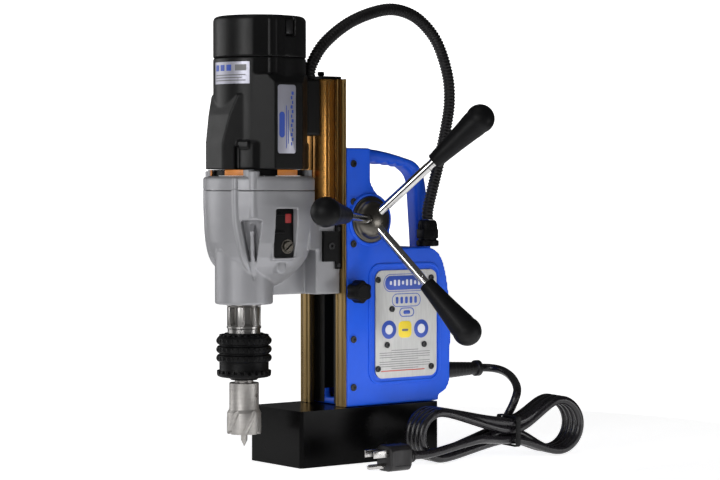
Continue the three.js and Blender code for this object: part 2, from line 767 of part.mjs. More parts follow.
function releaseCollar() {
  const profile = [[0, 79.7], [9.5, 79.7], [24.4, 86.2], [24.4, 87.5], [22.6, 88.5], [22.6, 96.4]];
  for (let rib = 0; rib < 3; rib++) {
    const base = 96.4 + rib * 7.8;
    profile.push([24.3, base], [24.3, base + 6], [22.8, base + 6.6], [22.8, base + 7.4]);
  }
  profile.splice(-2);
  profile.push([24.3, 119.4], [18, 119.6], [18, 121.8], [0, 121.8]);
  const inside = turned([[0, 84], [16.2, 84], [16.2, 123], [0, 123]]);
  return cut(turned(profile), inside, rod(8.9, 79, 85));
}

function cutterBody() {
  const teeth = 6;
  const edge = [[15.6, 30.9], [15.6, 50.3], [13.4, 54], [13.4, 77.1], [8.4, 77.1], [8.4, 108]];
  const outer = [[0, 30.9], ...edge, [0, 108]];
  const inner = rod(11.6, 29, 64);
  const pinHole = rod(3.4, 60, 109, 12);
  const gullets = [];
  for (let i = 0; i < teeth; i++) {
    const notch = polygon([[-1.5, -1], [3.5, -1], [1.5, 4.5], [-1.5, 2.5]]);
    const gullet = prism("x", notch, 10, 18).translate([0, 0, 30.5]).rotate([0, 0, (360 * i) / teeth]);
    gullets.push(gullet);
  }
  return cut(turned(outer), inner, pinHole, ...gullets);
}

function pilotPin() {
  return turned([[0, 19.1], [3, 24.9], [3, 121], [0, 121]], 12);
}

function addSpindle(parent) {
  const spindle = group(parent, 0, SPINDLE_Y, 0);
  part("spindle_shaft", spindleShaft(), FINISH.steel, spindle);
  part("arbor", arbor(), FINISH.steel, spindle);
  part("release_collar", releaseCollar(), FINISH.black, spindle);
  part("annular_cutter", cutterBody(), FINISH.steel, spindle);
  part("pilot_pin", pilotPin(), FINISH.steel, spindle);
  part("spindle_bearing", ring(12.3, 22, 152, 164), FINISH.steel, spindle);
  return spindle;
}

function addCarriage(parent) {
  const carriage = group(parent);
  addSlide(carriage);
  part("gearbox_housing", gearboxHousing(), FINISH.casting, carriage);
  part("selector_plate", selectorPlate(), FINISH.black, carriage);
  const knobPlace = group(carriage, 0, SELECTOR.y, SELECTOR.z);
  const selector = part("speed_selector", speedSelector(), FINISH.steel, knobPlace);
  selector.rotation.y = Math.PI / 2;
  const spindle = addSpindle(carriage);
  const motor = addMotor(carriage);
  addGearTrain(spindle, motor, carriage);
}

// ---------------------------------------------------------------- hose, mains lead and plug
// A round tube along a smooth curve through the given points.
function tube(points, radius, sides, steps) {
  const path = new THREE.CatmullRomCurve3(points.map((point) => new THREE.Vector3(...point)));
  const section = new THREE.Shape();
  section.absarc(0, 0, radius, 0, 2 * Math.PI);
  const extruded = new THREE.ExtrudeGeometry(section, {
    steps,
    curveSegments: sides,
    bevelEnabled: false,
    extrudePath: path,
  });
  return solid(extruded);
}

const HOSE_ROUTE = [
  [22, 81, 222.3],
  [22, 81.5, 232],
  [21, 88, 252],
  [20, 96, 275],
  [18.5, 106, 308],
  [17.5, 111.5, 335],
  [17, 109, 362],
  [16.5, 96, 392],
  [16, 74, 412],
  [15.5, 48, 419.5],
  [15, 22, 416],
  [14, -8, 404],
  [13, -34, 385],
  [12.2, -47.5, 366],
  [12, -50.4, 355],
  [12, -50.4, 350],
  [12, -50.4, 345],
];

const CORD_ROUTE = [
  [15, 151.4, 77.5],
  [15, 156, 77.6],
  [22, 164.5, 77.5],
  [38, 165.5, 75],
  [60, 156.5, 70],
  [80, 144, 63.5],
  [93, 131.5, 58.5],
];

const LEAD_ROUTE = [
  [102, 0.4, 12.3],
  [102.3, 4.5, 12.3],
  [104.9, 12.5, 12.5],
  [107.6, 25, 14.5],
  [110.4, 42, 18.5],
  [112.8, 58, 21.5],
  [114.6, 70, 23.5],
];

function conduitGland() {
  const lower = rod(10.6, GLAND.bottom, 203.5, 18);
  const nut = rod(10.6, 204.5, 219.5, 6);
  const top = turned([[0, 219], [8.6, 219], [7.4, GLAND.top], [0, GLAND.top]], 18);
  return join(lower, rod(8.5, 203, 205, 18), nut, top);
}

function strainRelief() {
  const { start, end } = RELIEF;
  const profile = [[0, start], [7, start], [5.8, end - 6], [7.7, end - 5.5], [7.7, end], [0, end]];
  return alongY(turned(profile, 16)).translate([RELIEF.x, 0, RELIEF.z]);
}

function ellipse(u, v, halfLong, halfHigh) {
  const shape = new THREE.Shape();
  shape.absellipse(u, v, halfLong, halfHigh, 0, 2 * Math.PI);
  return shape;
}

// The tied hank: a long and a short loop either side of the waist that the tie holds.
function cordHank() {
  const { thick, tie } = HANK;
  const loops = [
    prism("z", ellipse(-41, -1.5, 50, 25), -thick, thick, 14),
    prism("z", ellipse(54.5, 1.5, 36.5, 28), -thick, thick, 14),
    prism("z", roundedRectangle(64, 25, 3), -thick, thick, 2).translate([tie - 4, -2, 0]),
  ];
  const eyes = [
    prism("z", ellipse(-40, -2.5, 32, 11), -thick - 1, thick + 1, 10),
    prism("z", ellipse(56, 2, 20, 14), -thick - 1, thick + 1, 10),
  ];
  return cut(join(...loops), ...eyes);
}

function cordTie() {
  const outer = prism("x", roundedRectangle(28.6, 34.8, 2), -3, 3, 2);
  const inner = prism("x", roundedRectangle(25.6, 31.6, 1), -4, 4, 2);
  return cut(outer, inner).translate([HANK.tie, -2, 0]);
}

// The hank stands on its edge: local X runs along it and local Y up.
function addHank(parent) {
  const hank = group(parent, HANK.x, HANK.y, HANK.z);
  hank.rotation.set(Math.PI / 2, 0, THREE.MathUtils.degToRad(HANK.heading), "ZYX");
  part("cord_hank", cordHank(), FINISH.rubber, hank);
  part("cord_tie", cordTie(), FINISH.black, hank);
}

// The plug is made with its blades along local +X and its earth pin below them.
function addPlug(parent) {
  const plug = group(parent, PLUG.x, PLUG.y, PLUG.z);
  plug.rotation.z = THREE.MathUtils.degToRad(PLUG.heading);
  const { long, tall, thick } = PLUG;
  const shell = prism("x", roundedRectangle(thick, tall, 5), -long / 2, long / 2, 3);
  const neck = alongX(turned([[0, -22], [5, -22], [7, -long / 2], [0, -long / 2]], 12));
  part("plug_body", join(shell, neck.translate([0.2, 0, 0])), FINISH.rubber, plug);
  const face = long / 2 + GAP;
  const blade = (y) => box([face, y - 0.75, 1.5], [face + 16, y + 0.75, 7.9]);
  part("plug_blade_1", blade(-6.35), FINISH.chrome, plug);
  part("plug_blade_2", blade(6.35), FINISH.chrome, plug);
  part("plug_earth_pin", alongX(rod(2.4, face, face + 18, 12)).translate([0, 0, -6.8]), FINISH.chrome, plug);
}

function addLeads(parent) {
  part("conduit_gland", conduitGland(), FINISH.black, group(parent, GLAND.x, GLAND.y, 0));
  part("motor_conduit", tube(HOSE_ROUTE, HOSE.radius, 5, 26), FINISH.rubber, parent);
  part("strain_relief", strainRelief(), FINISH.rubber, parent);
  part("power_cord", tube(CORD_ROUTE, CORD.radius, 4, 10), FINISH.rubber, parent);
  addHank(parent);
  part("plug_lead", tube(LEAD_ROUTE, CORD.radius, 4, 8), FINISH.rubber, parent);
  addPlug(parent);
}

// ---------------------------------------------------------------- assembly
const press = new THREE.Group();
addMagnet(press);
addHousing(press);
addRails(press);
addControls(press);
addLockKnob(press);
addCapstan(press);
addCarriage(press);
addLeads(press);

export default press;
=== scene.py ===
import math

import bmesh
import bpy
from mathutils import Matrix, Vector


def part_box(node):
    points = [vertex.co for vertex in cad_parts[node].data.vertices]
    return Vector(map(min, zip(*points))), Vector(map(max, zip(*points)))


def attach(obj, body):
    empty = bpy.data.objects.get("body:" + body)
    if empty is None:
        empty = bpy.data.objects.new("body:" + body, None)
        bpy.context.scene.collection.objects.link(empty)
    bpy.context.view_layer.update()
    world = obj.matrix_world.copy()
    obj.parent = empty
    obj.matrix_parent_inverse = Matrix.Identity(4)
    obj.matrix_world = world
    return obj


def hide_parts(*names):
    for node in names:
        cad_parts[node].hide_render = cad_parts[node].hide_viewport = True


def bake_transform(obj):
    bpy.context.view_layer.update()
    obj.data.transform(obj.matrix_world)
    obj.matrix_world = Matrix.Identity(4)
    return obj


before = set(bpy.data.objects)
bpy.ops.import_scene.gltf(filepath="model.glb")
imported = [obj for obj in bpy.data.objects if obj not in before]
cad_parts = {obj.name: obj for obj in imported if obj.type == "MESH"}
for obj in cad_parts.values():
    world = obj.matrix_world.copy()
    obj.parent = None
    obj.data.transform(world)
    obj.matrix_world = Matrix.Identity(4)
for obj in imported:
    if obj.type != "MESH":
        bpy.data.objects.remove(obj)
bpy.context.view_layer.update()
scene = bpy.context.scene

# ---------------------------------------------------------------- sizes, in millimetres
MM = 0.001


def limits(node):
    """Lowest and highest corner of a CAD node, in millimetres."""
    low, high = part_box(node)
    return [c / MM for c in low], [c / MM for c in high]


def middle(node):
    """Centre of a CAD node's box, in millimetres."""
    low, high = limits(node)
    return [(a + b) / 2 for a, b in zip(low, high)]


SPINDLE = middle("spindle_shaft")[:2]
MOTOR = [0, middle("motor_cap")[1]]
HUB = middle("pinion_bush")[1:]
HOUSING_SIDE = limits("housing_body")[1][0]
HOUSING_TOP = limits("housing_body")[1][2]
COVER_SIDE = limits("housing_cover")[0][0]
SPLIT = -31.0
FRONT = limits("housing_body")[0][1]
BED = -18.7
GEARBOX_SPLIT = limits("gearbox_housing")[1][2]
GEARBOX_BOTTOM = limits("gearbox_housing")[0][2]
BLOCK = {"half": 27.5, "front": -54.0, "back": -27.0, "bottom": 155.7, "top": 232.0}
NOSE = 26.2
MOTOR_LOW, MOTOR_HIGH = limits("motor_housing")[0][2], limits("motor_housing")[1][2]
CAP_TOP = limits("motor_cap")[1][2]
BAND = 44.5
BODY = 42.0
HOSE_RADIUS = 5.7
CORD_RADIUS = 3.9


# ---------------------------------------------------------------- building meshes
def link(name, mesh):
    obj = bpy.data.objects.new(name, mesh)
    scene.collection.objects.link(obj)
    return obj


def solid(name, points, faces):
    """A mesh from points in millimetres, with its faces turned outwards."""
    mesh = bpy.data.meshes.new(name)
    mesh.from_pydata([[c * MM for c in p] for p in points], [], faces)
    work = bmesh.new()
    work.from_mesh(mesh)
    bmesh.ops.recalc_face_normals(work, faces=work.faces)
    work.to_mesh(mesh)
    work.free()
    return link(name, mesh)


PLACE = {
    "x": lambda u, v, w: (w, u, v),
    "y": lambda u, v, w: (u, w, v),
    "z": lambda u, v, w: (u, v, w),
}


def prism(name, axis, outline, low, high):
    """A closed outline drawn out along an axis."""
    place = PLACE[axis]
    n = len(outline)
    points = [place(u, v, w) for w in (low, high) for u, v in outline]
    sides = [[i, (i + 1) % n, n + (i + 1) % n, n + i] for i in range(n)]
    return solid(name, points, [list(range(n)), list(range(n, 2 * n)), *sides])


def box(name, low, high):
    """A block between two corners."""
    outline = [(low[0], low[1]), (high[0], low[1]), (high[0], high[1]), (low[0], high[1])]
    return prism(name, "z", outline, low[2], high[2])


def lathe(name, profile, sides=64, closed=False):
    """Turns (radius, height) points about Z. A radius of 0 closes the end."""
    points, rings, faces = [], [], []
    for radius, height in profile:
        if radius <= 0:
            rings.append([len(points)] * sides)
            points.append((0, 0, height))
            continue
        rings.append(list(range(len(points), len(points) + sides)))
        for i in range(sides):
            angle = 2 * math.pi * i / sides
            points.append((radius * math.cos(angle), radius * math.sin(angle), height))
    pairs = list(zip(rings, rings[1:]))
    if closed:
        pairs.append((rings[-1], rings[0]))
    for a, b in pairs:
        for i in range(sides):
            j = (i + 1) % sides
            face = list(dict.fromkeys([a[i], a[j], b[j], b[i]]))
            if len(face) > 2:
                faces.append(face)
    return solid(name, points, faces)


def rod(name, radius, low, high, sides=48, edge=0.0):
    """A round bar along Z, with its ends rounded by edge."""
    ends = [(radius - edge, low), (radius, low + edge), (radius, high - edge), (radius - edge, high)]
    if not edge:
        ends = [(radius, low), (radius, high)]
    return lathe(name, [(0, low), *ends, (0, high)], sides)


def tube(name, inner, outer, low, high, sides=64, edge=0.4):
    """A ring along Z, with its outer edges rounded by edge."""
    profile = [(inner, low), (outer - edge, low), (outer, low + edge)]
    profile += [(outer, high - edge), (outer - edge, high), (inner, high)]
    return lathe(name, profile, sides, closed=True)


def sweep(name, path, radius, sides=20):
    """A round tube along a path. radius is a number, or a function of the path's index."""
    line = [Vector(p) for p in path]
    size = radius if callable(radius) else lambda i: radius
    points, faces = [], []
    normal = None
    for i, here in enumerate(line):
        ahead = (line[min(i + 1, len(line) - 1)] - line[max(i - 1, 0)]).normalized()
        if normal is None:
            normal = ahead.orthogonal().normalized()
        normal = (normal - ahead * normal.dot(ahead)).normalized()
        other = ahead.cross(normal)
        for k in range(sides):
            angle = 2 * math.pi * k / sides
            points.append(here + (normal * math.cos(angle) + other * math.sin(angle)) * size(i))
    for i in range(len(line) - 1):
        for k in range(sides):
            a, b = i * sides + k, i * sides + (k + 1) % sides
            faces.append([a, b, b + sides, a + sides])
    last = (len(line) - 1) * sides
    faces += [list(range(sides)), list(range(last, last + sides))]
    return solid(name, points, faces)


def smooth_path(points, steps):
    """Catmull-Rom curve through points, with steps parts between neighbours."""
    line = [Vector(p) for p in points]
    line = [2 * line[0] - line[1], *line, 2 * line[-1] - line[-2]]
    made = []
    for a, b, c, d in zip(line, line[1:], line[2:], line[3:]):
        for step in range(steps):
            t = step / steps
            made.append(
                0.5 * (2 * b + (c - a) * t + (2 * a - 5 * b + 4 * c - d) * t**2
                       + (3 * b - a - 3 * c + d) * t**3)
            )
    return [*made, line[-2]]


def curve2(start, *controls, steps=10):
    """Points after start on a quadratic or cubic Bezier curve."""
    points = [Vector(start), *map(Vector, controls)]
    made = []
    for step in range(1, steps + 1):
        t = step / steps
        row = points
        while len(row) > 1:
            row = [a.lerp(b, t) for a, b in zip(row, row[1:])]
        made.append(tuple(row[0]))
    return made


def arc(centre, radius, start, end, steps=12):
    """Points on a circle, with angles in degrees."""
    made = []
    for step in range(steps + 1):
        angle = math.radians(start + (end - start) * step / steps)
        made.append((centre[0] + radius * math.cos(angle), centre[1] + radius * math.sin(angle)))
    return made


def rounded(width, height, radius, centre=(0, 0), steps=6):
    """Outline of a rectangle with round corners."""
    u, v = width / 2 - radius, height / 2 - radius
    corners = [(u, v, 0), (-u, v, 90), (-u, -v, 180), (u, -v, 270)]
    made = []
    for x, y, start in corners:
        made += arc((centre[0] + x, centre[1] + y), radius, start, start + 90, steps)
    return made


def moved(obj, matrix=None, at=(0, 0, 0)):
    """Turns a mesh by matrix and then moves it to a place in millimetres."""
    if matrix is not None:
        obj.data.transform(matrix.to_4x4())
    obj.data.transform(Matrix.Translation(Vector(at) * MM))
    return obj


def turn(axis, degrees):
    """A rotation about an axis."""
    return Matrix.Rotation(math.radians(degrees), 4, axis)


ALONG_X = turn("Y", 90)
ALONG_Y = turn("X", -90)


def bake(obj):
    """Replaces the mesh by what its modifiers make of it."""
    graph = bpy.context.evaluated_depsgraph_get()
    mesh = bpy.data.meshes.new_from_object(obj.evaluated_get(graph))
    obj.modifiers.clear()
    obj.data = mesh
    return obj


def combine(operation, obj, others):
    """Joins, cuts or crosses a solid with others, which are used up."""
    for other in others:
        step = obj.modifiers.new("combine", "BOOLEAN")
        step.operation = operation
        step.solver = "EXACT"
        step.object = other
    bake(obj)
    for other in others:
        bpy.data.objects.remove(other)
    return obj


def fuse(obj, *others):
    return combine("UNION", obj, others)


def carve(obj, *others):
    return combine("DIFFERENCE", obj, others)


def keep_common(obj, *others):
    return combine("INTERSECT", obj, others)


def group(name, *parts):
    """Several meshes as one piece."""
    work = bmesh.new()
    for part in parts:
        work.from_mesh(part.data)
        bpy.data.objects.remove(part)
    mesh = bpy.data.meshes.new(name)
    work.to_mesh(mesh)
    work.free()
    return link(name, mesh)


def soften(obj, width, segments=2, angle=35):
    """Rounds the sharp edges."""
    step = obj.modifiers.new("edge", "BEVEL")
    step.width = width * MM
    step.segments = segments
    step.limit_method = "ANGLE"
    step.angle_limit = math.radians(angle)
    step.harden_normals = False
    return obj


def soften_baked(obj, width, segments=2, angle=35):
    return bake(soften(obj, width, segments, angle))


def cast(obj, voxel, rounds):
    """Melts a built-up solid into one cast body with small fillets."""
    step = obj.modifiers.new("voxels", "REMESH")
    step.mode = "VOXEL"
    step.voxel_size = voxel * MM
    melt = obj.modifiers.new("melt", "SMOOTH")
    melt.factor = 0.5
    melt.iterations = rounds
    return bake(obj)


def smooth(obj):
    """Shades every face smoothly."""
    for face in obj.data.polygons:
        face.use_smooth = True


def place_piece(obj, material, body, stands_for=(), sharp=32):
    """Gives a piece its material, its shading and the body that it rides on."""
    obj.data.materials.clear()
    obj.data.materials.append(material)
    if sharp and obj.type == "MESH":
        smooth(obj)
        obj.data.set_sharp_from_angle(angle=math.radians(sharp))
    if stands_for:
        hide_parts(*stands_for)
    if body:
        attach(obj, body)
    return obj


# ---------------------------------------------------------------- materials
def material(name, color, rough, metal=0.0, tint=0.08, tint_scale=45.0, spread=0.06,
             bump=0.12, grain=1400.0, stretch=(1, 1, 1), coat=0.0, wear=None, wear_share=0.1,
             specular=0.5):
    """A surface with mottled colour, uneven gloss, a fine grain and, with wear, rubbed patches."""
    made = bpy.data.materials.new(name)
    made.use_nodes = True
    tree = made.node_tree
    shader = tree.nodes["Principled BSDF"]
    shader.inputs["Metallic"].default_value = metal
    shader.inputs["Coat Weight"].default_value = coat
    shader.inputs["Coat Roughness"].default_value = 0.12
    shader.inputs["Specular IOR Level"].default_value = specular
    place = tree.nodes.new("ShaderNodeTexCoord")
    scale = tree.nodes.new("ShaderNodeMapping")
    scale.inputs["Scale"].default_value = stretch
    tree.links.new(place.outputs["Object"], scale.inputs["Vector"])

    def noise(size, detail, kind=scale):
        node = tree.nodes.new("ShaderNodeTexNoise")
        node.inputs["Scale"].default_value = size
        node.inputs["Detail"].default_value = detail
        tree.links.new(kind.outputs[0], node.inputs["Vector"])
        return node

    def ramp(source, low, high, start=0.3, end=0.7):
        node = tree.nodes.new("ShaderNodeValToRGB")
        node.color_ramp.elements[0].position = start
        node.color_ramp.elements[1].position = end
        node.color_ramp.elements[0].color = low
        node.color_ramp.elements[1].color = high
        tree.links.new(source.outputs["Fac"], node.inputs["Fac"])
        return node

    dark = [c * (1 - tint) for c in color] + [1]
    light = [min(1, c * (1 + tint)) for c in color] + [1]
    patches = noise(tint_scale, 5)
    shade = ramp(patches, dark, light)
    last = shade.outputs["Color"]
    if wear:
        worn = ramp(noise(tint_scale * 3.1, 8), (0, 0, 0, 1), (1, 1, 1, 1),
                    0.72 - wear_share, 0.78 - wear_share * 0.5)
        mix = tree.nodes.new("ShaderNodeMix")
        mix.data_type = "RGBA"
        tree.links.new(worn.outputs["Color"], mix.inputs["Factor"])
        tree.links.new(last, mix.inputs["A"])
        mix.inputs["B"].default_value = [*wear, 1]
        last = mix.outputs["Result"]
    tree.links.new(last, shader.inputs["Base Color"])
    gloss = tree.nodes.new("ShaderNodeMapRange")
    gloss.inputs["To Min"].default_value = max(0.02, rough - spread)
    gloss.inputs["To Max"].default_value = min(1, rough + spread)
    tree.links.new(noise(tint_scale * 2.3, 6).outputs["Fac"], gloss.inputs["Value"])
    tree.links.new(gloss.outputs["Result"], shader.inputs["Roughness"])
    rise = tree.nodes.new("ShaderNodeBump")
    rise.inputs["Strength"].default_value = bump
    rise.inputs["Distance"].default_value = 0.0004
    tree.links.new(noise(grain, 3).outputs["Fac"], rise.inputs["Height"])
    tree.links.new(rise.outputs["Normal"], shader.inputs["Normal"])
    return made


PAINT = material("blue_paint", (0.008, 0.078, 0.58), 0.38, tint=0.06, spread=0.05, bump=0.16,
                 grain=1100, specular=0.22)
CASTING = material("grey_casting", (0.285, 0.285, 0.30), 0.44, metal=0.4, tint=0.05, spread=0.07,
                   bump=0.2, grain=1500)
GLOSS = material("base_paint", (0.0010, 0.0010, 0.0011), 0.24, tint=0.2, bump=0.06, grain=600,
                 wear=(0.004, 0.004, 0.004), wear_share=0.06, specular=0.06)
GOLD = material("gold_anodised", (0.19, 0.125, 0.045), 0.28, metal=0.9, tint=0.1, tint_scale=25,
                stretch=(1, 1, 0.06), bump=0.05, grain=2400)
BRONZED = material("slide_anodised", (0.5, 0.25, 0.065), 0.25, metal=0.9, tint=0.12, tint_scale=25,
                   stretch=(1, 1, 0.05), bump=0.04, grain=2400, wear=(0.3, 0.2, 0.09), wear_share=0.05)
STEEL = material("machined_steel", (0.42, 0.41, 0.40), 0.27, metal=1.0, tint=0.1, tint_scale=60,
                 stretch=(1, 1, 5), bump=0.02, grain=1500)
AGED_STEEL = material("aged_steel", (0.11, 0.10, 0.085), 0.4, metal=0.9, tint=0.15, bump=0.05)
HUB_STEEL = material("hub_steel", (0.14, 0.13, 0.115), 0.3, metal=1.0, tint=0.05, tint_scale=30,
                     bump=0.03)
ARBOR_STEEL = material("arbor_steel", (0.36, 0.35, 0.34), 0.3, metal=1.0, tint=0.06, tint_scale=40,
                       bump=0.01)
CHROME = material("chrome", (0.62, 0.61, 0.60), 0.08, metal=1.0, tint=0.04, spread=0.03, bump=0.02)
CUTTER = material("cutter_steel", (0.37, 0.355, 0.34), 0.44, metal=0.75, tint=0.09, tint_scale=120,
                  stretch=(1, 1, 4), bump=0.06, grain=1200)
DARK_STEEL = material("screw_steel", (0.02, 0.02, 0.021), 0.35, metal=0.6, tint=0.2, bump=0.1)
BLACK = material("black_plastic", (0.0035, 0.0035, 0.0038), 0.42, tint=0.15, spread=0.08, bump=0.2,
                 grain=1700, specular=0.12)
MOTOR_BLACK = material("motor_plastic", (0.0035, 0.0035, 0.0037), 0.38, tint=0.12, spread=0.08,
                       bump=0.15, grain=1500, specular=0.25)
GRIP = material("grip_plastic", (0.0045, 0.0045, 0.005), 0.44, tint=0.15, bump=0.15, grain=1800,
                specular=0.15)
RUBBER = material("black_rubber", (0.005, 0.0045, 0.005), 0.40, tint=0.18, spread=0.08, bump=0.15,
                  grain=1600, specular=0.35)
SHEATH = material("cord_sheath", (0.0045, 0.004, 0.005), 0.27, tint=0.15, spread=0.07, bump=0.1,
                  grain=900, specular=0.45)
PLATE = material("plate_aluminium", (0.40, 0.40, 0.395), 0.38, metal=0.85, tint=0.06, tint_scale=60,
                 stretch=(1, 8, 1), bump=0.08, grain=2200)
COPPER = material("copper_winding", (0.42, 0.16, 0.05), 0.35, metal=0.9, tint=0.2, tint_scale=400,
                  bump=0.3)
RESIN = material("potting_resin", (0.02, 0.018, 0.016), 0.5, tint=0.2, bump=0.2)
IRON = material("copper_and_iron", (0.22, 0.14, 0.09), 0.45, metal=0.8, tint=0.2, tint_scale=200)
BRONZE = material("bearing_bronze", (0.38, 0.24, 0.09), 0.35, metal=0.9, tint=0.1)
BOARD = material("board", (0.02, 0.12, 0.05), 0.5, tint=0.25, tint_scale=150)
ORANGE = material("orange_baffle", (0.55, 0.19, 0.035), 0.42, tint=0.12, tint_scale=90, bump=0.2)
RED = material("red_plastic", (0.27, 0.01, 0.01), 0.35, tint=0.08, bump=0.12)
GREEN = material("green_plastic", (0.01, 0.22, 0.045), 0.35, tint=0.08, bump=0.12)
BLUE_INK = material("blue_ink", (0.022, 0.06, 0.33), 0.42, tint=0.08, bump=0.1)
YELLOW_INK = material("yellow_ink", (0.72, 0.55, 0.03), 0.45, tint=0.08, bump=0.1)
GREY_INK = material("grey_ink", (0.12, 0.12, 0.125), 0.45, tint=0.1, bump=0.1)
RED_INK = material("red_ink", (0.45, 0.05, 0.03), 0.45, tint=0.1, bump=0.1)
LILAC = material("silver_label", (0.36, 0.36, 0.42), 0.36, metal=0.5, tint=0.08, bump=0.1)
PALE_INK = material("pale_ink", (0.55, 0.56, 0.60), 0.45, tint=0.06, bump=0.08)
WHITE_FLOOR = material("studio_floor", (0.8, 0.8, 0.8), 0.7, tint=0.01, tint_scale=3, bump=0.02,
                       grain=200, specular=0.0)
BACKDROP_PAPER = material("backdrop_paper", (0.8, 0.8, 0.8), 0.8, tint=0.01, tint_scale=2, bump=0.02,
                          grain=100, specular=0.0)
FAR_FLOOR = material("far_floor", (0.8, 0.8, 0.8), 0.7, tint=0.01, tint_scale=3, bump=0.02,
                     grain=200, specular=0.0)
for paper, glow in ((WHITE_FLOOR, 0.82), (FAR_FLOOR, 1.0), (BACKDROP_PAPER, 1.0)):
    lit = paper.node_tree.nodes["Principled BSDF"].inputs
    lit["Emission Color"].default_value = (1, 1, 1, 1)
    lit["Emission Strength"].default_value = glow

# Looks of the CAD nodes that show as they are, or that stay hidden inside.
NODE_LOOKS = {
    "magnet_yoke": (GLOSS, 0.8),
    "magnet_coil": (COPPER, 0),
    "magnet_potting": (RESIN, 0),
    "nameplate": (PLATE, 0.3),
    "pinion_bush": (BRONZE, 0),
    "control_board": (BOARD, 0),
    "slide_cap": (BLACK, 0.4),
    "feed_rack": (STEEL, 0.2),
    "clamp_block": (BLACK, 0.8),
    "selector_plate": (BLACK, 0.3),
    "fan_baffle": (BLACK, 0.3),
    "stator": (IRON, 0.4),
    "armature": (IRON, 0.3),
    "motor_pinion": (STEEL, 0),
    "cooling_fan": (BLACK, 0.3),
    "carbon_brush_left": (RESIN, 0.2),
    "carbon_brush_right": (RESIN, 0.2),
    "spindle_shaft": (STEEL, 0.3),
    "spindle_gear": (STEEL, 0),
    "spindle_bearing": (STEEL, 0.3),
    "idler_gear": (STEEL, 0),
    "pinion_shaft": (STEEL, 0.2),
    "control_panel": (BLACK, 0.8),
    "magnet_switch": (RED, 0.8),
    "start_button": (GREEN, 0.6),
    "stop_button": (RED, 0.6),
}
for node_name, (look, edge) in NODE_LOOKS.items():
    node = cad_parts[node_name]
    node.data.materials.clear()
    node.data.materials.append(look)
    if edge:
        soften(node, edge)

# ---------------------------------------------------------------- mains cord, hank and plug
CORD_EXIT = (15, 151.4, 77.5)
CORD_ROUTE = [CORD_EXIT, (15, 156, 77.6), (22, 164.5, 77.5), (38, 165.5, 75), (60, 156.5, 70),
              (80, 144, 63.5), (93, 131.5, 58.5)]
LEAD_ROUTE = [(114.6, 70, 23.5), (112.8, 58, 21.5), (110.4, 42, 18.5), (107.6, 25, 14.5),
              (104.9, 12.5, 12.5), (102.3, 4.5, 12.3), (102, 0.4, 12.3)]
HANK_CENTRE = (98, 101, 29)
HANK_ALONG = Vector((0.153, 0.988, 0))
HANK_OUT = Vector((0.988, -0.153, 0))
TIE_AT = 14
LOBE_DEPTHS = (-11.7, -3.9, 3.9, 11.7)
UPPER_RUNS = [(5.8, -5), (5.8, 3), (5.8, 11), (-2, 7.8)]
LOWER_RUNS = [(-9.8, -8), (-2, -0.2), (-9.8, 0), (-9.8, 8)]
ENTRY_RUN = (-2, -11)


def in_hank(along, up, out):
    """A point given in the hank's own axes."""
    return tuple(Vector(HANK_CENTRE) + HANK_ALONG * along + Vector((0, 0, up)) + HANK_OUT * out)


def hank_points():
    """The cord's four turns between the two lobes, from the entry to the last waist."""
    made = [(28, 18, -15.5), (21, 6.5, -16), (12, -0.5, -12.5), (2, *ENTRY_RUN)]
    for turn_number, depth in enumerate(LOBE_DEPTHS):
        for u, v in arc((-65, -1.5), 22.4, -75, -285, 6):
            made.append((u, v, depth))
        made += [(3, *UPPER_RUNS[turn_number]), (25, *UPPER_RUNS[turn_number])]
        for u, v in arc((62, 1.5), 25.4, 105, -105, 6):
            made.append((u, v, depth))
        made += [(25, *LOWER_RUNS[turn_number]), (3, *LOWER_RUNS[turn_number])]
    return [in_hank(*p) for p in [*made, (-12, -8, 14.5)]]


def cord_curve():
    """The whole mains cord as one open curve."""
    data = bpy.data.curves.new("mains_cord", "CURVE")
    data.dimensions = "3D"
    data.bevel_depth = CORD_RADIUS * MM
    data.bevel_resolution = 5
    data.resolution_u = 6
    data.use_fill_caps = True
    spline = data.splines.new("NURBS")
    points = [*CORD_ROUTE, *hank_points(), *LEAD_ROUTE]
    spline.points.add(len(points) - 1)
    for target, point in zip(spline.points, points):
        target.co = (*(Vector(point) * MM), 1)
    spline.order_u = 4
    spline.use_endpoint_u = True
    return link("mains_cord", data)


mains_cord = cord_curve()
place_piece(mains_cord, SHEATH, "frame", ("power_cord", "cord_hank", "plug_lead"), 0)

tie_outline = rounded(28.2, 34.6, 3)
tie_inner = rounded(25.6, 31.8, 2)


def band(name, outer, inner, low, high):
    """A flat ring between two outlines with the same number of points."""
    n = len(outer)
    points = [(w, u, v) for w in (low, high) for ring in (outer, inner) for u, v in ring]
    faces = []
    for i in range(n):
        j = (i + 1) % n
        faces += [[i, j, n + j, n + i], [2 * n + i, 3 * n + i, 3 * n + j, 2 * n + j],
                  [i, 2 * n + i, 2 * n + j, j], [n + i, n + j, 3 * n + j, 3 * n + i]]
    return solid(name, points, faces)


tie = soften_baked(band("tie_band", tie_outline, tie_inner, -2.6, 2.6), 0.5)
tie_head = soften_baked(box("tie_head", (-3.2, 9.5, 13.5), (3.2, 14.5, 18)), 0.8)
tie_tail = soften_baked(box("tie_tail", (-2.2, 12.5, 3), (2.2, 14.2, 17)), 0.4)
hank_axes = Matrix((HANK_ALONG, (0, 0, 1), HANK_OUT)).transposed()
cord_tie = group("cord_tie_band", tie, tie_head, tie_tail)
moved(cord_tie, hank_axes, in_hank(TIE_AT, -2, 0))
place_piece(cord_tie, BLACK, "frame", ("cord_tie",))

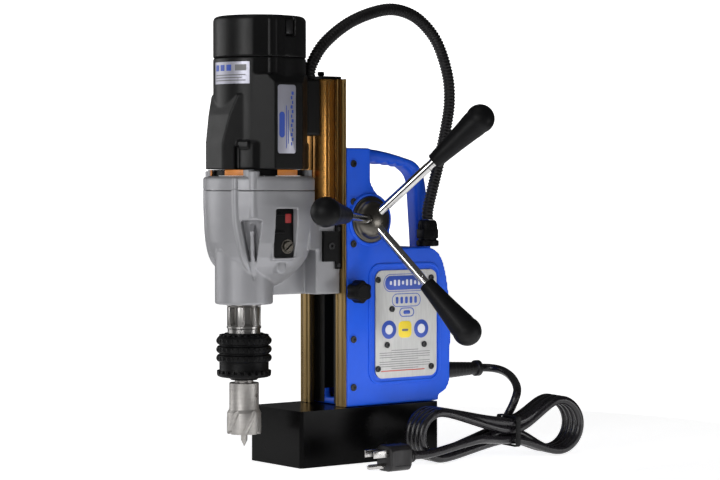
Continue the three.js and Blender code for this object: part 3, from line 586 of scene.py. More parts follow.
PLUG = (102, -22, 12.3)
plug_shell = soften_baked(prism("plug_shell", "x", rounded(22, 23.4, 6.5), -12, 12), 1.6, 3)
for side in (-1, 1):
    carve(plug_shell, moved(rod("hollow", 26, -7, 7, 64), None, (-1, side * 35.2, 0)))
neck_profile = [(0, 0), (7.4, 0), (6.9, 2.2), (6.0, 2.5), (6.0, 3.6), (6.6, 3.9), (6.4, 5.4),
                (5.5, 5.7), (5.5, 6.8), (6.1, 7.1), (5.8, 8.7), (5.0, 9), (4.8, 10.2), (0, 10.2)]
plug_neck = lathe("plug_neck", neck_profile, 40)
moved(plug_neck, turn("Y", -90), (-11.8, 0, 0))
plug_face = soften_baked(prism("plug_face", "x", rounded(19.5, 21, 5), 11.8, 12.25), 0.15)
plug = group("plug_moulding", plug_shell, plug_neck, plug_face)
moved(plug, turn("Z", -90), PLUG)
place_piece(plug, RUBBER, "frame", ("plug_body",), 40)


def plug_blade(name, side):
    """One flat blade of the plug, to one side of its middle."""
    blade = soften_baked(box(name, (12.3, side - 0.75, 1.5), (28.2, side + 0.75, 7.9)), 0.35)
    return moved(blade, turn("Z", -90), PLUG)


for number, side in ((1, -6.35), (2, 6.35)):
    blade = plug_blade(f"blade_{number}", side)
    place_piece(blade, STEEL, "frame", (f"plug_blade_{number}",))
earth = lathe("earth_pin", [(0, 12.3), (2.4, 12.3), (2.4, 28.4), (1.7, 29.8), (0.8, 30.2), (0, 30.3)], 24)
moved(earth, turn("Y", 90))
moved(earth, turn("Z", -90), (PLUG[0], PLUG[1], PLUG[2] - 6.8))
place_piece(earth, STEEL, "frame", ("plug_earth_pin",))

relief_low, relief_high = limits("strain_relief")
relief_x, relief_z = CORD_EXIT[0], CORD_EXIT[2]
long = relief_high[1] - relief_low[1]
profile = [(0, 0), (10.5, 0), (10.5, 2.5), (9.2, 3.4), (8.2, 5), (7.9, 8)]
for rib in range(7):
    start = 10 + rib * 4.4
    r = 7.9 - rib * 0.24
    profile += [(r, start), (r, start + 3.3), (r - 0.22, start + 3.6), (r - 0.22, start + 4.2)]
profile += [(6.0, long - 8), (6.2, long - 6), (7.7, long - 5), (7.7, long - 0.6), (7.1, long), (0, long)]
profile = [(min(r, 7.7) if h > 0 else r, h) for r, h in profile]
relief = moved(lathe("relief_boot", profile, 56), ALONG_Y, (relief_x, relief_low[1], relief_z))
place_piece(relief, RUBBER, "frame", ("strain_relief",))

# ---------------------------------------------------------------- motor conduit
HOSE_ROUTE = [(22, 81, 222.3), (22, 81.5, 232), (21, 88, 252), (20, 96, 275), (18.5, 106, 308),
              (17.5, 111.5, 335), (17, 109, 362), (16.5, 96, 392), (16, 74, 412), (15.5, 48, 419.5),
              (15, 22, 416), (14, -8, 404), (13, -34, 385), (12.2, -47.5, 366), (12, -50.4, 355),
              (12, -50.4, 350), (12, -50.4, 345)]
HOSE_PITCH = 3.1


def even_path(points, gap):
    """Points gap apart along a path."""
    made = [points[0]]
    left = gap
    for a, b in zip(points, points[1:]):
        part = (b - a).length
        done = 0
        while part - done >= left:
            done += left
            made.append(a.lerp(b, done / part))
            left = gap
        left -= part - done
    return made


fine_route = smooth_path(HOSE_ROUTE, 40)
hose_path = even_path(fine_route, HOSE_PITCH / 5)
RING = (0, 0, 0.75, 0.85, 0.55)
conduit = sweep("corrugated_conduit", hose_path, lambda i: HOSE_RADIUS - RING[i % 5], 22)
place_piece(conduit, RUBBER, None, ("motor_conduit",), 0)
smooth(conduit)
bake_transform(conduit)

GLAND = (22, 81)
gland_low = limits("conduit_gland")[0][2]
lower = tube("gland_base", 2, 10.6, 0, 5.6, 48, 0.8)
waist = rod("gland_waist", 8.6, 5, 8, 40)
nut = soften_baked(prism("gland_nut", "z", arc((0, 0), 10.6, 0, 300, 5), 7.3, 16), 0.7)
ribs = []
for i in range(24):
    rib = soften(box("rib", (7.2, -0.55, 15), (9.3, 0.55, 21)), 0.3)
    ribs.append(moved(rib, turn("Z", 15 * i)))
crown_profile = [(0, 15.5), (8.9, 15.5), (8.9, 21.5), (8.2, 23.6), (6.6, 24.7), (0, 24.7)]
crown = lathe("gland_crown", crown_profile, 56)
gland = group("gland", lower, waist, nut, crown, *[bake(r) for r in ribs])
moved(gland, None, (*GLAND, gland_low))
place_piece(gland, BLACK, "frame", ("conduit_gland",), 35)

# ---------------------------------------------------------------- screws
def socket_screw(name, radius, height, at, axis=ALONG_X, body="frame", look=DARK_STEEL):
    """A cap screw with a hexagonal socket. Its seat is at the given point and it faces along axis."""
    head = rod(name, radius, -1.5, height, 32, min(0.4, height / 3))
    socket = prism("socket", "z", arc((0, 0), radius * 0.55, 0, 300, 5), height * 0.35, height + 1)
    carve(head, socket)
    moved(head, axis, at)
    return place_piece(head, look, body, (), 30)


# ---------------------------------------------------------------- housing
def housing_outline(bottom, top):
    """Side view of the housing, without its handle."""
    made = [(FRONT, bottom), (84, bottom), (84, 57)]
    made += curve2((84, 57), (95, 60), (97.5, 69), steps=6)
    made += [(99.2, 117)]
    made += curve2((99.2, 117), (99.2, 140), (96, 165), (90, 182), steps=8)
    made += curve2((90, 182), (84, 197), (68, 197), steps=8)
    made += [(40, 197)]
    made += curve2((40, 197), (26, 199), (25, 215), steps=6)
    made += arc(HUB, 24.5, -20, 51.5, 12)
    made += curve2(made[-1], (4, 251), (2.5, 262), steps=6)
    made += [(2.5, top), (FRONT, top)]
    return made


def handle_loft(name, low, high):
    """The carrying handle: a soft-cornered section between its outer and inner edges."""
    outer = [(6, 289.2), (19, 289.4)]
    outer += curve2((19, 289.4), (38, 288.5), (57, 283.5), (74, 278.8), steps=16)
    outer += curve2((74, 278.8), (84, 275), (88.3, 262.7), steps=8)
    outer += curve2((88.3, 262.7), (94, 240), (97, 190), steps=14)
    inner = [(6, 274.7), (10, 274.7)]
    inner += curve2((10, 274.7), (48, 274.7), (62, 271), steps=16)
    inner += curve2((62, 271), (76.5, 267), (77.3, 250), steps=8)
    inner += curve2((77.3, 250), (78.5, 225), (81.5, 190), steps=14)
    points, faces = [], []
    sides = 40
    middle_x, half = (low + high) / 2, (high - low) / 2
    for i, (a, b) in enumerate(zip(outer, inner)):
        a, b = Vector(a), Vector(b)
        if 3 <= i <= 18:
            b = b + (a - b).normalized() * 2.4 * (0.5 - 0.5 * math.cos(2 * math.pi * (i - 3) / 3.75))
        centre, reach = (a + b) / 2, (a - b) / 2
        for k in range(sides):
            angle = 2 * math.pi * k / sides
            c, s = math.cos(angle), math.sin(angle)
            u = abs(c) ** 0.62 * (1 if c >= 0 else -1)
            v = abs(s) ** 0.62 * (1 if s >= 0 else -1)
            p = centre + reach * u
            points.append((middle_x + half * v, p[0], p[1]))
    count = len(outer)
    for i in range(count - 1):
        for k in range(sides):
            a, b = i * sides + k, i * sides + (k + 1) % sides
            faces.append([a, b, b + sides, a + sides])
    last = (count - 1) * sides
    faces += [list(range(sides)), list(range(last, last + sides))]
    return solid(name, points, faces)


housing_low, housing_high = limits("housing_body")[0][2], HOUSING_TOP
housing = prism("housing", "x", housing_outline(housing_low, housing_high - 0.2), SPLIT, HOUSING_SIDE)
handle = handle_loft("handle", -9, 11)
fuse(housing, handle)
cavity = [(-12, 57), (80, 57), (92, 72), (94.5, 117)]
cavity += curve2((94.5, 117), (94, 160), (84, 182), steps=6)
cavity += [(76, 192), (24, 192), *arc(HUB, 20, -34, 57, 8), (-1.5, 256), (-1.5, 284), (-12, 284)]
carve(
    housing,
    prism("cavity", "x", cavity, SPLIT - 1, HOUSING_SIDE - 4),
    box("rail_bed", (-27.3, FRONT - 1, housing_low - 1), (27.3, BED, HOUSING_TOP + 2)),
    box("rack_slot", (-7.2, BED - 1, 58), (7.2, -9.5, HOUSING_TOP + 2)),
    moved(rod("bush_hole", 10.3, 20, 40), ALONG_X, (0, *HUB)),
    moved(rod("lock_hole", 2.9, 20, 40), ALONG_X, (0, -18.5, 158)),
)
cast(housing, 1.25, 5)
place_piece(housing, PAINT, "frame", ("housing_body",), 0)
smooth(housing)

cover = prism("cover", "x", housing_outline(housing_low, HOUSING_TOP), COVER_SIDE, SPLIT - 0.3)
soften_baked(cover, 1.4, 3, 50)
place_piece(cover, PAINT, "frame", ("housing_cover",))
for i, spot in enumerate([(-18, 60), (76, 62), (90, 120), (82, 188), (-18, 190), (-10, 280), (-18, 120)]):
    socket_screw(f"cover_screw_{i}", 3.4, 2.0, (COVER_SIDE + 0.2, *spot), turn("Y", -90))

# Painted shade: thin black sheets over the back and one wall of the rack slot darken the blue casting where
# the channel lies in shadow.
for name, low, high in (("slot_back_painted_shade", (-7.3, -9.6, 66), (7.3, -9.3, 288)),
                        ("slot_wall_painted_shade", (-7.4, BED - 0.1, 66), (-7.1, -9.4, 289))):
    place_piece(soften_baked(box(name, low, high), 0.05, 1), BLACK, "frame")
# Painted shade: thin black sheets over the rail bed on both sides of the slot darken the blue casting
# between the rails, where it lies in shadow.
for side in (-1, 1):
    bed_shade_sheet = box(f"bed_painted_shade_{side + 2}", (min(side * 7.5, side * 26), BED - 0.22, housing_low + 1),
                (max(side * 7.5, side * 26), BED + 0.2, 289))
    place_piece(soften_baked(bed_shade_sheet, 0.1, 1), BLACK, "frame")

rim_outer = rounded(85.4, 112.5, 13, (43, 126.5), 8)
rim_inner = rounded(79.5, 106.6, 10, (43, 126.5), 8)
rim = band("plate_rim", rim_outer, rim_inner, HOUSING_SIDE - 1, HOUSING_SIDE + 1.1)
soften_baked(rim, 0.55, 3)
place_piece(rim, PAINT, "frame")
boss = tube("hub_boss", 21.9, 24.3, HOUSING_SIDE - 1, HOUSING_SIDE + 2.2, 72, 0.9)
place_piece(moved(boss, ALONG_X, (0, *HUB)), PAINT, "frame")
for i, height in enumerate((274.8, 240, 201.4, 113.6, 69.5)):
    seat = tube(f"flange_seat_{i}", 3.5, 4.6, HOUSING_SIDE - 1, HOUSING_SIDE + 0.5, 32, 0.3)
    place_piece(moved(seat, ALONG_X, (0, -17.2, height)), PAINT, "frame")
    socket_screw(f"flange_screw_{i}", 3.3, 1.4, (HOUSING_SIDE, -17.2, height))

# ---------------------------------------------------------------- nameplate with generic marks
FACE = limits("nameplate")[1][0]


def mark(name, outline, look, proud=0.12):
    """A thin printed shape on the nameplate."""
    piece = prism(name, "x", outline, FACE - 0.05, FACE + proud)
    return place_piece(soften_baked(piece, 0.05), look, "frame")


def disc_outline(centre, radius, steps=36):
    """Outline of a disc."""
    return arc(centre, radius, 0, 350, steps - 1)


mark("title_bar", rounded(47, 13.2, 6.4, (42.3, 164.3)), BLUE_INK)
bars = []
for i in range(8):
    bars.append(prism("bar", "x", rounded(2.4, 5.6 if i % 3 else 3.4, 0.8, (25.5 + i * 4.8, 164.3), 3),
                      FACE, FACE + 0.26))
place_piece(group("title_marks", *bars), PALE_INK, "frame")
for name, centre, outer, inner in (
    ("title_line", (42.3, 164.3), (50.5, 16.6, 8), (49.3, 15.4, 7.4)),
    ("series_line", (44, 148), (34, 12.5, 5.8), (32.6, 11.1, 5.1)),
    ("badge_line", (44.5, 136.6), (17.5, 8.6, 4.2), (15.6, 6.9, 3.4)),
):
    ring = band(name, rounded(*outer, centre), rounded(*inner, centre), FACE - 0.05, FACE + 0.12)
    place_piece(ring, BLUE_INK, "frame")
mark("badge_dot", rounded(8, 3.4, 1.6, (44.5, 136.6)), BLUE_INK)
for i in range(5):
    mark(f"series_mark_{i}", rounded(3.1, 6.4, 1.2, (33 + i * 5.5, 148), 3), BLUE_INK)
for i, centre in enumerate(((23.4, 121), (61.8, 120.6))):
    mark(f"disc_{i}", disc_outline(centre, 8.6), BLUE_INK)
    inside = prism("inside", "x", disc_outline(centre, 4.4, 24), FACE, FACE + 0.25)
    bar = prism("bar", "x", rounded(7.4, 2.2, 1, (centre[0], centre[1] - 0.6), 3), FACE, FACE + 0.3)
    place_piece(group(f"disc_mark_{i}", inside, bar), PALE_INK, "frame")
mark("middle_patch", rounded(15.5, 15.5, 4.5, (42.4, 120.6)), YELLOW_INK)
mark("middle_bar", rounded(7.4, 2.2, 1, (42.4, 120), 3), GREY_INK, 0.3)
lines = []
for row in range(9):
    height = 101.5 - row * 2.1
    reach = 30 if row % 4 else 16
    line = rounded(reach * 2, 0.55, 0.2, (42.3, height), 2)
    lines.append(prism("line", "x", line, FACE - 0.05, FACE + 0.1))
place_piece(group("fine_lines", *lines), GREY_INK, "frame")
mark("red_line", rounded(52, 0.9, 0.3, (40, 82.6), 2), RED_INK)
for i, spot in enumerate([(10.5, 167.5), (73.7, 168.1), (27, 140.1), (21.1, 106.9), (65.2, 105.8),
                          (10.5, 85.1), (73.8, 84.7)]):
    socket_screw(f"plate_screw_{i}", 2.9, 1.3, (FACE, *spot))

# ---------------------------------------------------------------- lock knob, hub, arms
def lobed(radius, depth, lobes=6, steps=84):
    """Outline of a knob with lobes round its edge."""
    made = []
    for i in range(steps):
        angle = 2 * math.pi * i / steps
        r = radius + depth * math.cos(lobes * angle)
        made.append((r * math.cos(angle), r * math.sin(angle)))
    return made


knob = soften_baked(prism("lock_knob_grip", "z", lobed(9.75, 0.85), 39, 52), 1.3, 3)
knob_neck = rod("neck", 5, 35.7, 40, 32, 0.4)
knob_cap = lathe("cap", [(0, 51.8), (6.4, 51.8), (6.0, 52.6), (0, 52.8)], 40)
knob_stud = rod("stud", 2.5, 28.5, 36, 20, 0.4)
knob = group("lock_knob_grip", knob, knob_neck, knob_cap, knob_stud)
moved(knob, ALONG_X, (0, -18.5, 158))
place_piece(knob, BLACK, "lock", ("lock_knob",), 40)

HUB_FACE = 38.0
ARM_LEAN = 54.5
FIRST_ARM = 55.5
profile = [(0, 35.7), (20.6, 35.7), (21.2, 36.3), (21.2, 37.6), (20.5, 38.3), (18.4, 38.7), (18.0, 39.3)]
for step in range(12):
    angle = math.radians(6 + 64 * step / 11)
    profile.append((17.5 * math.cos(angle), 39 + 9.5 * math.sin(angle)))
profile += [(5, 48.1), (2.5, 48.4), (0, 48.5)]
hub = lathe("hub_dome", profile, 96)
hub_cutters = [rod("shaft_hole", 6.3, 35, 43.3)]


def in_arm(obj, number):
    """Puts a piece made along Z on one of the three arms."""
    lean = turn("Y", ARM_LEAN)
    around = turn("Z", FIRST_ARM + 120 * number + 90)
    moved(obj, around @ lean, (0, 0, HUB_FACE))
    return moved(obj, ALONG_X, (0, *HUB))


moved(hub, turn("Z", FIRST_ARM + 90))
for i in range(3):
    lean = turn("Z", FIRST_ARM + 90 + 120 * i) @ turn("Y", ARM_LEAN)
    hub_cutters.append(moved(rod("socket", 4.4, 9, 45, 32), lean, (0, 0, HUB_FACE)))
carve(hub, *hub_cutters)
soften_baked(hub, 0.35, 2, 30)
moved(hub, ALONG_X, (0, *HUB))
place_piece(hub, HUB_STEEL, "capstan", ("capstan_hub",), 30)
for i in range(3):
    shape = [(0, 9.3), (3.5, 9.3), (4.2, 10), (4.2, 18.6), (3.9, 18.9), (3.9, 19.8), (4.2, 20.1),
             (4.2, 72), (4.0, 72.3), (4.0, 77), (4.2, 77.3), (4.2, 107.6), (3.8, 108), (0, 108)]
    bar = lathe(f"arm_rod_{i + 1}", shape, 40)
    place_piece(in_arm(bar, i), CHROME, "capstan", (f"arm_{i + 1}",))
    shape = [(4.5, 109), (4.5, 79.4), (6.2, 79.0), (7.0, 79.3), (7.4, 80.2), (7.6, 84), (7.8, 84.6),
             (8.4, 93), (9.6, 106), (11.1, 120), (12.3, 129)]
    for step in range(13):
        angle = math.radians(-22 + 112 * step / 12)
        shape.append((13.3 * math.cos(angle), 137 + 13.3 * math.sin(angle)))
    shape[-1] = (0, 150.3)
    knob_grip = lathe(f"grip_ball_{i + 1}", [(0, 109), *shape], 56)
    place_piece(in_arm(knob_grip, i), GRIP, "capstan", (f"grip_{i + 1}",), 45)

# ---------------------------------------------------------------- rails and slide
def mirrored(outline):
    """The other half of an outline, across the middle plane."""
    return [(-x, y) for x, y in reversed(outline)]


rail = [(20.4, -26.5), (34.6, -26.5), (35, -26.1), (35, -25.3), (34.7, -25), (29.6, -25), (29.4, -24.6),
        (27, -24.6), (27, -19.2), (26.8, -19), (22.8, -19), (22.6, -19.2), (22.6, -21.8), (22.3, -22),
        (20.2, -22), (20, -22.3), (20, -26.1)]
grooved = [(20.4, -26.5), (23.2, -26.5), (23.5, -26.1), (24.4, -26.1), (24.7, -26.5), (31.5, -26.5),
           (31.8, -26.15), (32.6, -26.15), (32.9, -26.5), *rail[1:]]
rail_low, rail_high = limits("rail_right")[0][2], limits("rail_right")[1][2]
for side, outline in (("right", grooved), ("left", mirrored(grooved))):
    piece = soften_baked(prism(f"rail_{side}_bar", "z", outline, rail_low, rail_high), 0.18, 1)
    place_piece(piece, GOLD, "frame", (f"rail_{side}",), 30)

slide_low, slide_high = limits("slide_bar")[0][2], limits("slide_bar")[1][2]
half_slide = [(22, -19.3), (22, -21.3), (21.7, -21.6), (19.5, -21.6), (19.5, -24.6), (18.6, -25.4),
              (18.6, -27), (19.5, -27.8), (19.5, -33), (18.9, -33.6), (18.9, -34.6), (19.5, -35.2),
              (19.5, -36.6), (14.6, -41.2), (13.2, -42), (7.5, -42), (7.0, -41.4), (5.6, -41.4), (5.1, -42)]
slide = prism("slide_rail", "z", [*half_slide, *mirrored(half_slide)], slide_low, slide_high)
soften_baked(slide, 0.2)
place_piece(slide, BRONZED, "carriage", ("slide_bar",), 30)

clamp_face = limits("clamp_block")[1][0]
socket_screw("clamp_screw", 3.3, 1.6, (clamp_face - 0.6, -39.5, 199.7), ALONG_X, "carriage")
for i, height in enumerate((182, 215)):
    socket_screw(f"gib_screw_{i}", 1.9, 0.8, (30, -30, height), ALONG_X, "carriage")
slide_top = limits("slide_cap")[1][2]
knob_profile = [(0, -0.5), (1.6, -0.5), (1.6, 1.2), (2.9, 1.5), (3.1, 2), (3.1, 4.6), (2.6, 5.1), (0, 5.1)]
top_knob = lathe("top_knob", knob_profile, 32)
place_piece(moved(top_knob, None, (-3, -26, slide_top)), BLACK, "carriage")
for i, spot in enumerate([(-12, -33), (12, -33)]):
    socket_screw(f"cap_screw_{i}", 2.6, 1.2, (*spot, slide_top - 0.9), Matrix.Identity(4), "carriage")

# ---------------------------------------------------------------- gearbox casting
# Side view of the bowl under the motor: radius and height.
BOWL = [(0, 159.5), (11, 163.2), (22, 169), (31, 176), (37.5, 182.5), (43, 190.5), (46.7, 204),
        (48.8, 220), (49.8, 238), (49.8, GEARBOX_SPLIT)]


def bowl(name, thick=0.0):
    profile = [(max(0, r - thick * (0.3 + 0.7 * min(1, r / 40))), z + thick * max(0, 1 - r / 45) * 1.4)
               for r, z in BOWL]
    return moved(lathe(name, [*profile, (0, GEARBOX_SPLIT)], 120), None, (*MOTOR, 0))


def bowl_radius(height):
    """Radius of the bowl at a height."""
    for (r1, z1), (r2, z2) in zip(BOWL, BOWL[1:]):
        if z1 <= height <= z2:
            return r1 + (r2 - r1) * (height - z1) / (z2 - z1)
    return BOWL[-1][0]


def on_bowl(azimuth, height, proud=0.0):
    r = bowl_radius(height) + proud
    a = math.radians(azimuth)
    return (MOTOR[0] + r * math.cos(a), MOTOR[1] + r * math.sin(a), height)


# Edge of the bowl where the round nose runs up into it, across and up.
LEAF = [(-27, 150), (-27, 184), (-25.6, 193), (-23.7, 199), (-20.5, 195.5), (-13, 187.5), (-3.8, 178.5),
        (6.2, 171), (6.2, 150)]


def gearbox_casting():
    """The gearbox: the bowl under the motor, the nose round the spindle and the slide block."""
    body = bowl("gearbox")
    shoulder = [(27.5, -30), (27.5, -50), (33.5, -58.5), (40.5, -70)]
    shoulder_outline = [*shoulder, *mirrored(shoulder)]
    parts = [
        moved(rod("nose", NOSE, GEARBOX_BOTTOM, 205, 96, 1.2), None, (*SPINDLE, 0)),
        prism("shoulder", "z", shoulder_outline, 197, 237.5),
        box("web", (-9.5, SPINDLE[1] + 8, 155.7), (9.5, -53, 215)),
        box("block", (-BLOCK["half"], BLOCK["front"], BLOCK["bottom"]),
            (BLOCK["half"], BLOCK["back"], BLOCK["top"])),
        soften_baked(box("window_frame", (20, -113.6, 188.5), (44, -87.6, 236.5)), 1.6, 3),
        moved(rod("boss", 5.4, 20, 40.5, 40, 0.8), ALONG_X, (0, -101, 181.2)),
    ]
    for azimuth in (-41.5, -138.5):
        a = math.radians(azimuth)
        place = (MOTOR[0] + 45.2 * math.cos(a), MOTOR[1] + 45.2 * math.sin(a), 0)
        parts.append(moved(rod("post_rib", 5.4, 226, GEARBOX_SPLIT, 32), None, place))
    edge = [on_bowl(-61, 252, -1.6), on_bowl(-61, 238, -1.6), on_bowl(-60.5, 224, -1.4),
            on_bowl(-57.5, 207, -0.6), on_bowl(-53, 190), on_bowl(-49, 180, 0.4), on_bowl(-46, 172, 0.6)]
    for flip in (False, True):
        line = [(-x, y, z) if flip else (x, y, z) for x, y, z in edge]
        parts.append(sweep("ridge", smooth_path(line, 6), 3.3, 20))
    fuse(body, *parts)
    cuts, ribs = [], []
    for flip in (1, -1):
        wedge = prism("wedge", "y", [(-9.8, 224), (9.8, 224), (0.8, 171), (-0.8, 171)], -70, -33)
        moved(wedge, turn("Z", 46 * flip), (*MOTOR, 0))
        carve(wedge, bowl("kept", 11))
        leaf = prism("leaf", "y", [(u * flip, v) for u, v in LEAF], -70, -4)
        moved(leaf, turn("Z", 52.6 * flip), (*SPINDLE, 0))
        carve(leaf, moved(rod("kept_nose", NOSE, 140, 230, 96), None, (*SPINDLE, 0)))
        cuts += [wedge, leaf]
        rib_side = [(-30, 222), (-38, 221), (-43.5, 214), (-41.5, 192), (-33, 172), (-26, 172)]
        rib = prism("rib", "x", rib_side, -1.9, 1.9)
        ribs.append(moved(rib, turn("Z", 46 * flip), (*MOTOR, 0)))
    chamber = moved(rod("chamber", 37.8, 226, GEARBOX_SPLIT + 2), None, (*MOTOR, 0))
    window = box("window", (38.7, -111.6, 190.6), (60, -89.6, 234.4))
    slide_way = box("slide_way", (-19.9, -42.4, 140), (19.9, -20, GEARBOX_SPLIT + 2))
    bore = fuse(rod("bore", 22, 140, 166), rod("bore_top", 13, 160, 240))
    carve(body, *cuts)
    fuse(body, *ribs)
    carve(body, chamber, window, slide_way, moved(bore, None, (*SPINDLE, 0)))
    return cast(body, 0.85, 4)


gearbox = gearbox_casting()
place_piece(gearbox, CASTING, "carriage", ("gearbox_housing",), 0)
smooth(gearbox)

cover_low, cover_high = limits("gearbox_cover")[0][2], 263.4
wide = limits("gearbox_cover")[1][0]
profile = [(9, cover_low), (wide - 0.25, cover_low), (wide, cover_low + 0.25), (wide, 258.2)]
for step in range(1, 7):
    angle = math.radians(15 * step)
    profile.append((wide - 4.4 + 4.4 * math.cos(angle), cover_high - 4.6 + 4.6 * math.sin(angle)))
lid = lathe("gearbox_lid", [*profile, (9, cover_high)], 144, closed=True)
lid_parts = []
for azimuth in (-48, -132, 48, 132):
    post = rod("post", 5, cover_high - 2, limits("gearbox_cover")[1][2], 40, 0.5)
    lid_parts.append(moved(moved(post, None, (42.5, 0, 0)), turn("Z", azimuth)))
for azimuth in (-41.5, -138.5):
    foot = moved(rod("post_foot", 5.4, cover_low, cover_high + 4.4, 40, 0.8), None, (45.4, 0, 0))
    lid_parts.append(moved(foot, turn("Z", azimuth)))
for azimuth in (-61, -119):
    ridge = moved(rod("lid_ridge", 3.3, cover_low, cover_high - 1, 32, 1.4), None, (48.2, 0, 0))
    lid_parts.append(moved(ridge, turn("Z", azimuth)))
fuse(lid, *lid_parts)
place_piece(moved(lid, None, (*MOTOR, 0)), CASTING, "carriage", ("gearbox_cover",), 28)

WINDOW_FACE = limits("selector_plate")[1][0]
patch_outline = rounded(6.4, 8.2, 1, (-95.6, 225.6), 3)
patch = prism("window_patch", "x", patch_outline, WINDOW_FACE - 0.1, WINDOW_FACE + 0.2)
place_piece(patch, RED, "carriage")
for i, height in enumerate((229.4, 213.5)):
    ledge = box(f"window_ledge_{i}", (WINDOW_FACE - 0.2, -110.6, height - 1.2),
                (WINDOW_FACE + 1, -99.6, height + 1.2))
    place_piece(soften_baked(ledge, 0.4, 2), BLACK, "carriage")
selector_y, selector_z = middle("speed_selector")[1:]
selector = rod("selector_knob", 4.9, 39.4, 45.1, 48, 0.7)
carve(selector, box("slot", (-0.8, -7, 43.6), (0.8, 7, 47)))
moved(selector, turn("Z", 40))
moved(selector, ALONG_X, (0, selector_y, selector_z))
place_piece(selector, AGED_STEEL, "selector", ("speed_selector",), 30)
seat = moved(tube("selector_seat", 5.3, 6.5, WINDOW_FACE - 0.2, WINDOW_FACE + 0.5, 48, 0.2), ALONG_X,
             (0, selector_y, selector_z))
place_piece(seat, AGED_STEEL, "carriage")

# ---------------------------------------------------------------- motor
def on_motor(azimuth, height, radius):
    a = math.radians(azimuth)
    return (MOTOR[0] + radius * math.cos(a), MOTOR[1] + radius * math.sin(a), height)


def wrapped(name, start, end, low, high, radius, thick=0.35, steps=24):
    """A label bent round the motor."""
    outline = []
    for step in range(steps + 1):
        outline.append(on_motor(start + (end - start) * step / steps, 0, radius + thick)[:2])
    for step in range(steps, -1, -1):
        outline.append(on_motor(start + (end - start) * step / steps, 0, radius - 0.4)[:2])
    return prism(name, "z", outline, low, high)


def radial_cut(name, azimuth, width, low, high, inner, outer=60):
    """A box cutter that points outwards from the motor's axis."""
    return moved(box(name, (inner, -width / 2, low), (outer, width / 2, high)), turn("Z", azimuth),
                 (*MOTOR, 0))


PAD_FACE = 44.9
# The directions that the motor's two flats face, and half of the angle that each takes up.
FACET_AZIMUTHS = (-23, -157)
FACET_HALF = 20


def flatten_sides(body, radius, low, high):
    """Presses two flats into the front corners of a round body that stands on the Z axis."""
    reach = radius * math.cos(math.radians(FACET_HALF)) * MM
    for vertex in body.data.vertices:
        if not low * MM <= vertex.co.z <= high * MM:
            continue
        for azimuth in FACET_AZIMUTHS:
            angle = math.radians(azimuth)
            outwards = Vector((math.cos(angle), math.sin(angle), 0))
            vertex.co -= outwards * max(0, vertex.co.dot(outwards) - reach)


def motor_pad(side):
    """The flat-faced pad on one side of the motor, with a sloped top."""
    plan = [(28, -28), (30.7, -28.6), (PAD_FACE, -14.5), (PAD_FACE, 15.5), (32.5, 29.5), (28, 33)]
    slope = [(20, MOTOR_LOW), (47, MOTOR_LOW), (47, 344), (40, 354), (20, 354)]
    pad = prism("pad", "z", [(x * side, y) for x, y in plan], MOTOR_LOW, 354)
    keep_common(pad, prism("slope", "y", [(x * side, z) for x, z in slope], -40, 40))
    return moved(pad, None, (*MOTOR, 0))


def motor_shell():
    """The motor's housing: a flattened round body with a hood, two pads and a hose entry."""
    profile = [(0, MOTOR_LOW), (BAND - 1, MOTOR_LOW), (BAND, MOTOR_LOW + 1), (BAND, 292),
               (BAND - 0.8, 293), (BODY, 294.6), (BODY, MOTOR_HIGH - 0.8), (BODY - 0.8, MOTOR_HIGH),
               (0, MOTOR_HIGH)]
    body = lathe("motor", profile, 144)
    flatten_sides(body, BODY, 293.5, MOTOR_HIGH + 1)
    flatten_sides(body, BAND, MOTOR_LOW - 1, 293.5)
    moved(body, None, (*MOTOR, 0))
    side = [(-30, MOTOR_LOW), (-30, 336), (-38, 336), (-44.5, 318), (-49.8, 293), (-49.8, MOTOR_LOW)]
    hood = prism("hood", "x", side, -30, 30)
    plan = [(13.4, -49.8), (24.3, -34.2), (24.3, -28), (-24.3, -28), (-24.3, -34.2), (-13.4, -49.8)]
    keep_common(hood, prism("plan", "z", plan, 260, 340))
    moved(hood, None, (*MOTOR, 0))
    entry = soften_baked(box("entry", (4.5, MOTOR[1] + 35, 300), (19.5, MOTOR[1] + 54.5, 352)), 2, 3)
    ledge = soften_baked(box("ledge", (38, -5.5, 288), (BAND + 1.4, 5.5, 294.5)), 0.8)
    moved(ledge, turn("Z", -54), (*MOTOR, 0))
    ridges = [radial_cut("ridge", a, 1.6, 345, MOTOR_HIGH, 38.6, 40.7) for a in (-21, -11)]
    fuse(body, hood, entry, ledge, motor_pad(1), motor_pad(-1), *ridges)
    cuts = [
        radial_cut("slot", -61.5, 4.2, MOTOR_LOW - 1, 290, BAND - 3),
        moved(rod("inside", 38, 290, MOTOR_HIGH + 1), None, (*MOTOR, 0)),
        moved(rod("inside_low", 38.5, MOTOR_LOW - 1, 288), None, (*MOTOR, 0)),
        moved(rod("hose_hole", HOSE_RADIUS + 0.8, 342, 353, 32), None, (12, -50.4, 0)),
    ]
    carve(body, *cuts)
    return cast(body, 0.8, 3)


motor = motor_shell()
place_piece(motor, MOTOR_BLACK, "carriage", ("motor_housing",), 0)
smooth(motor)


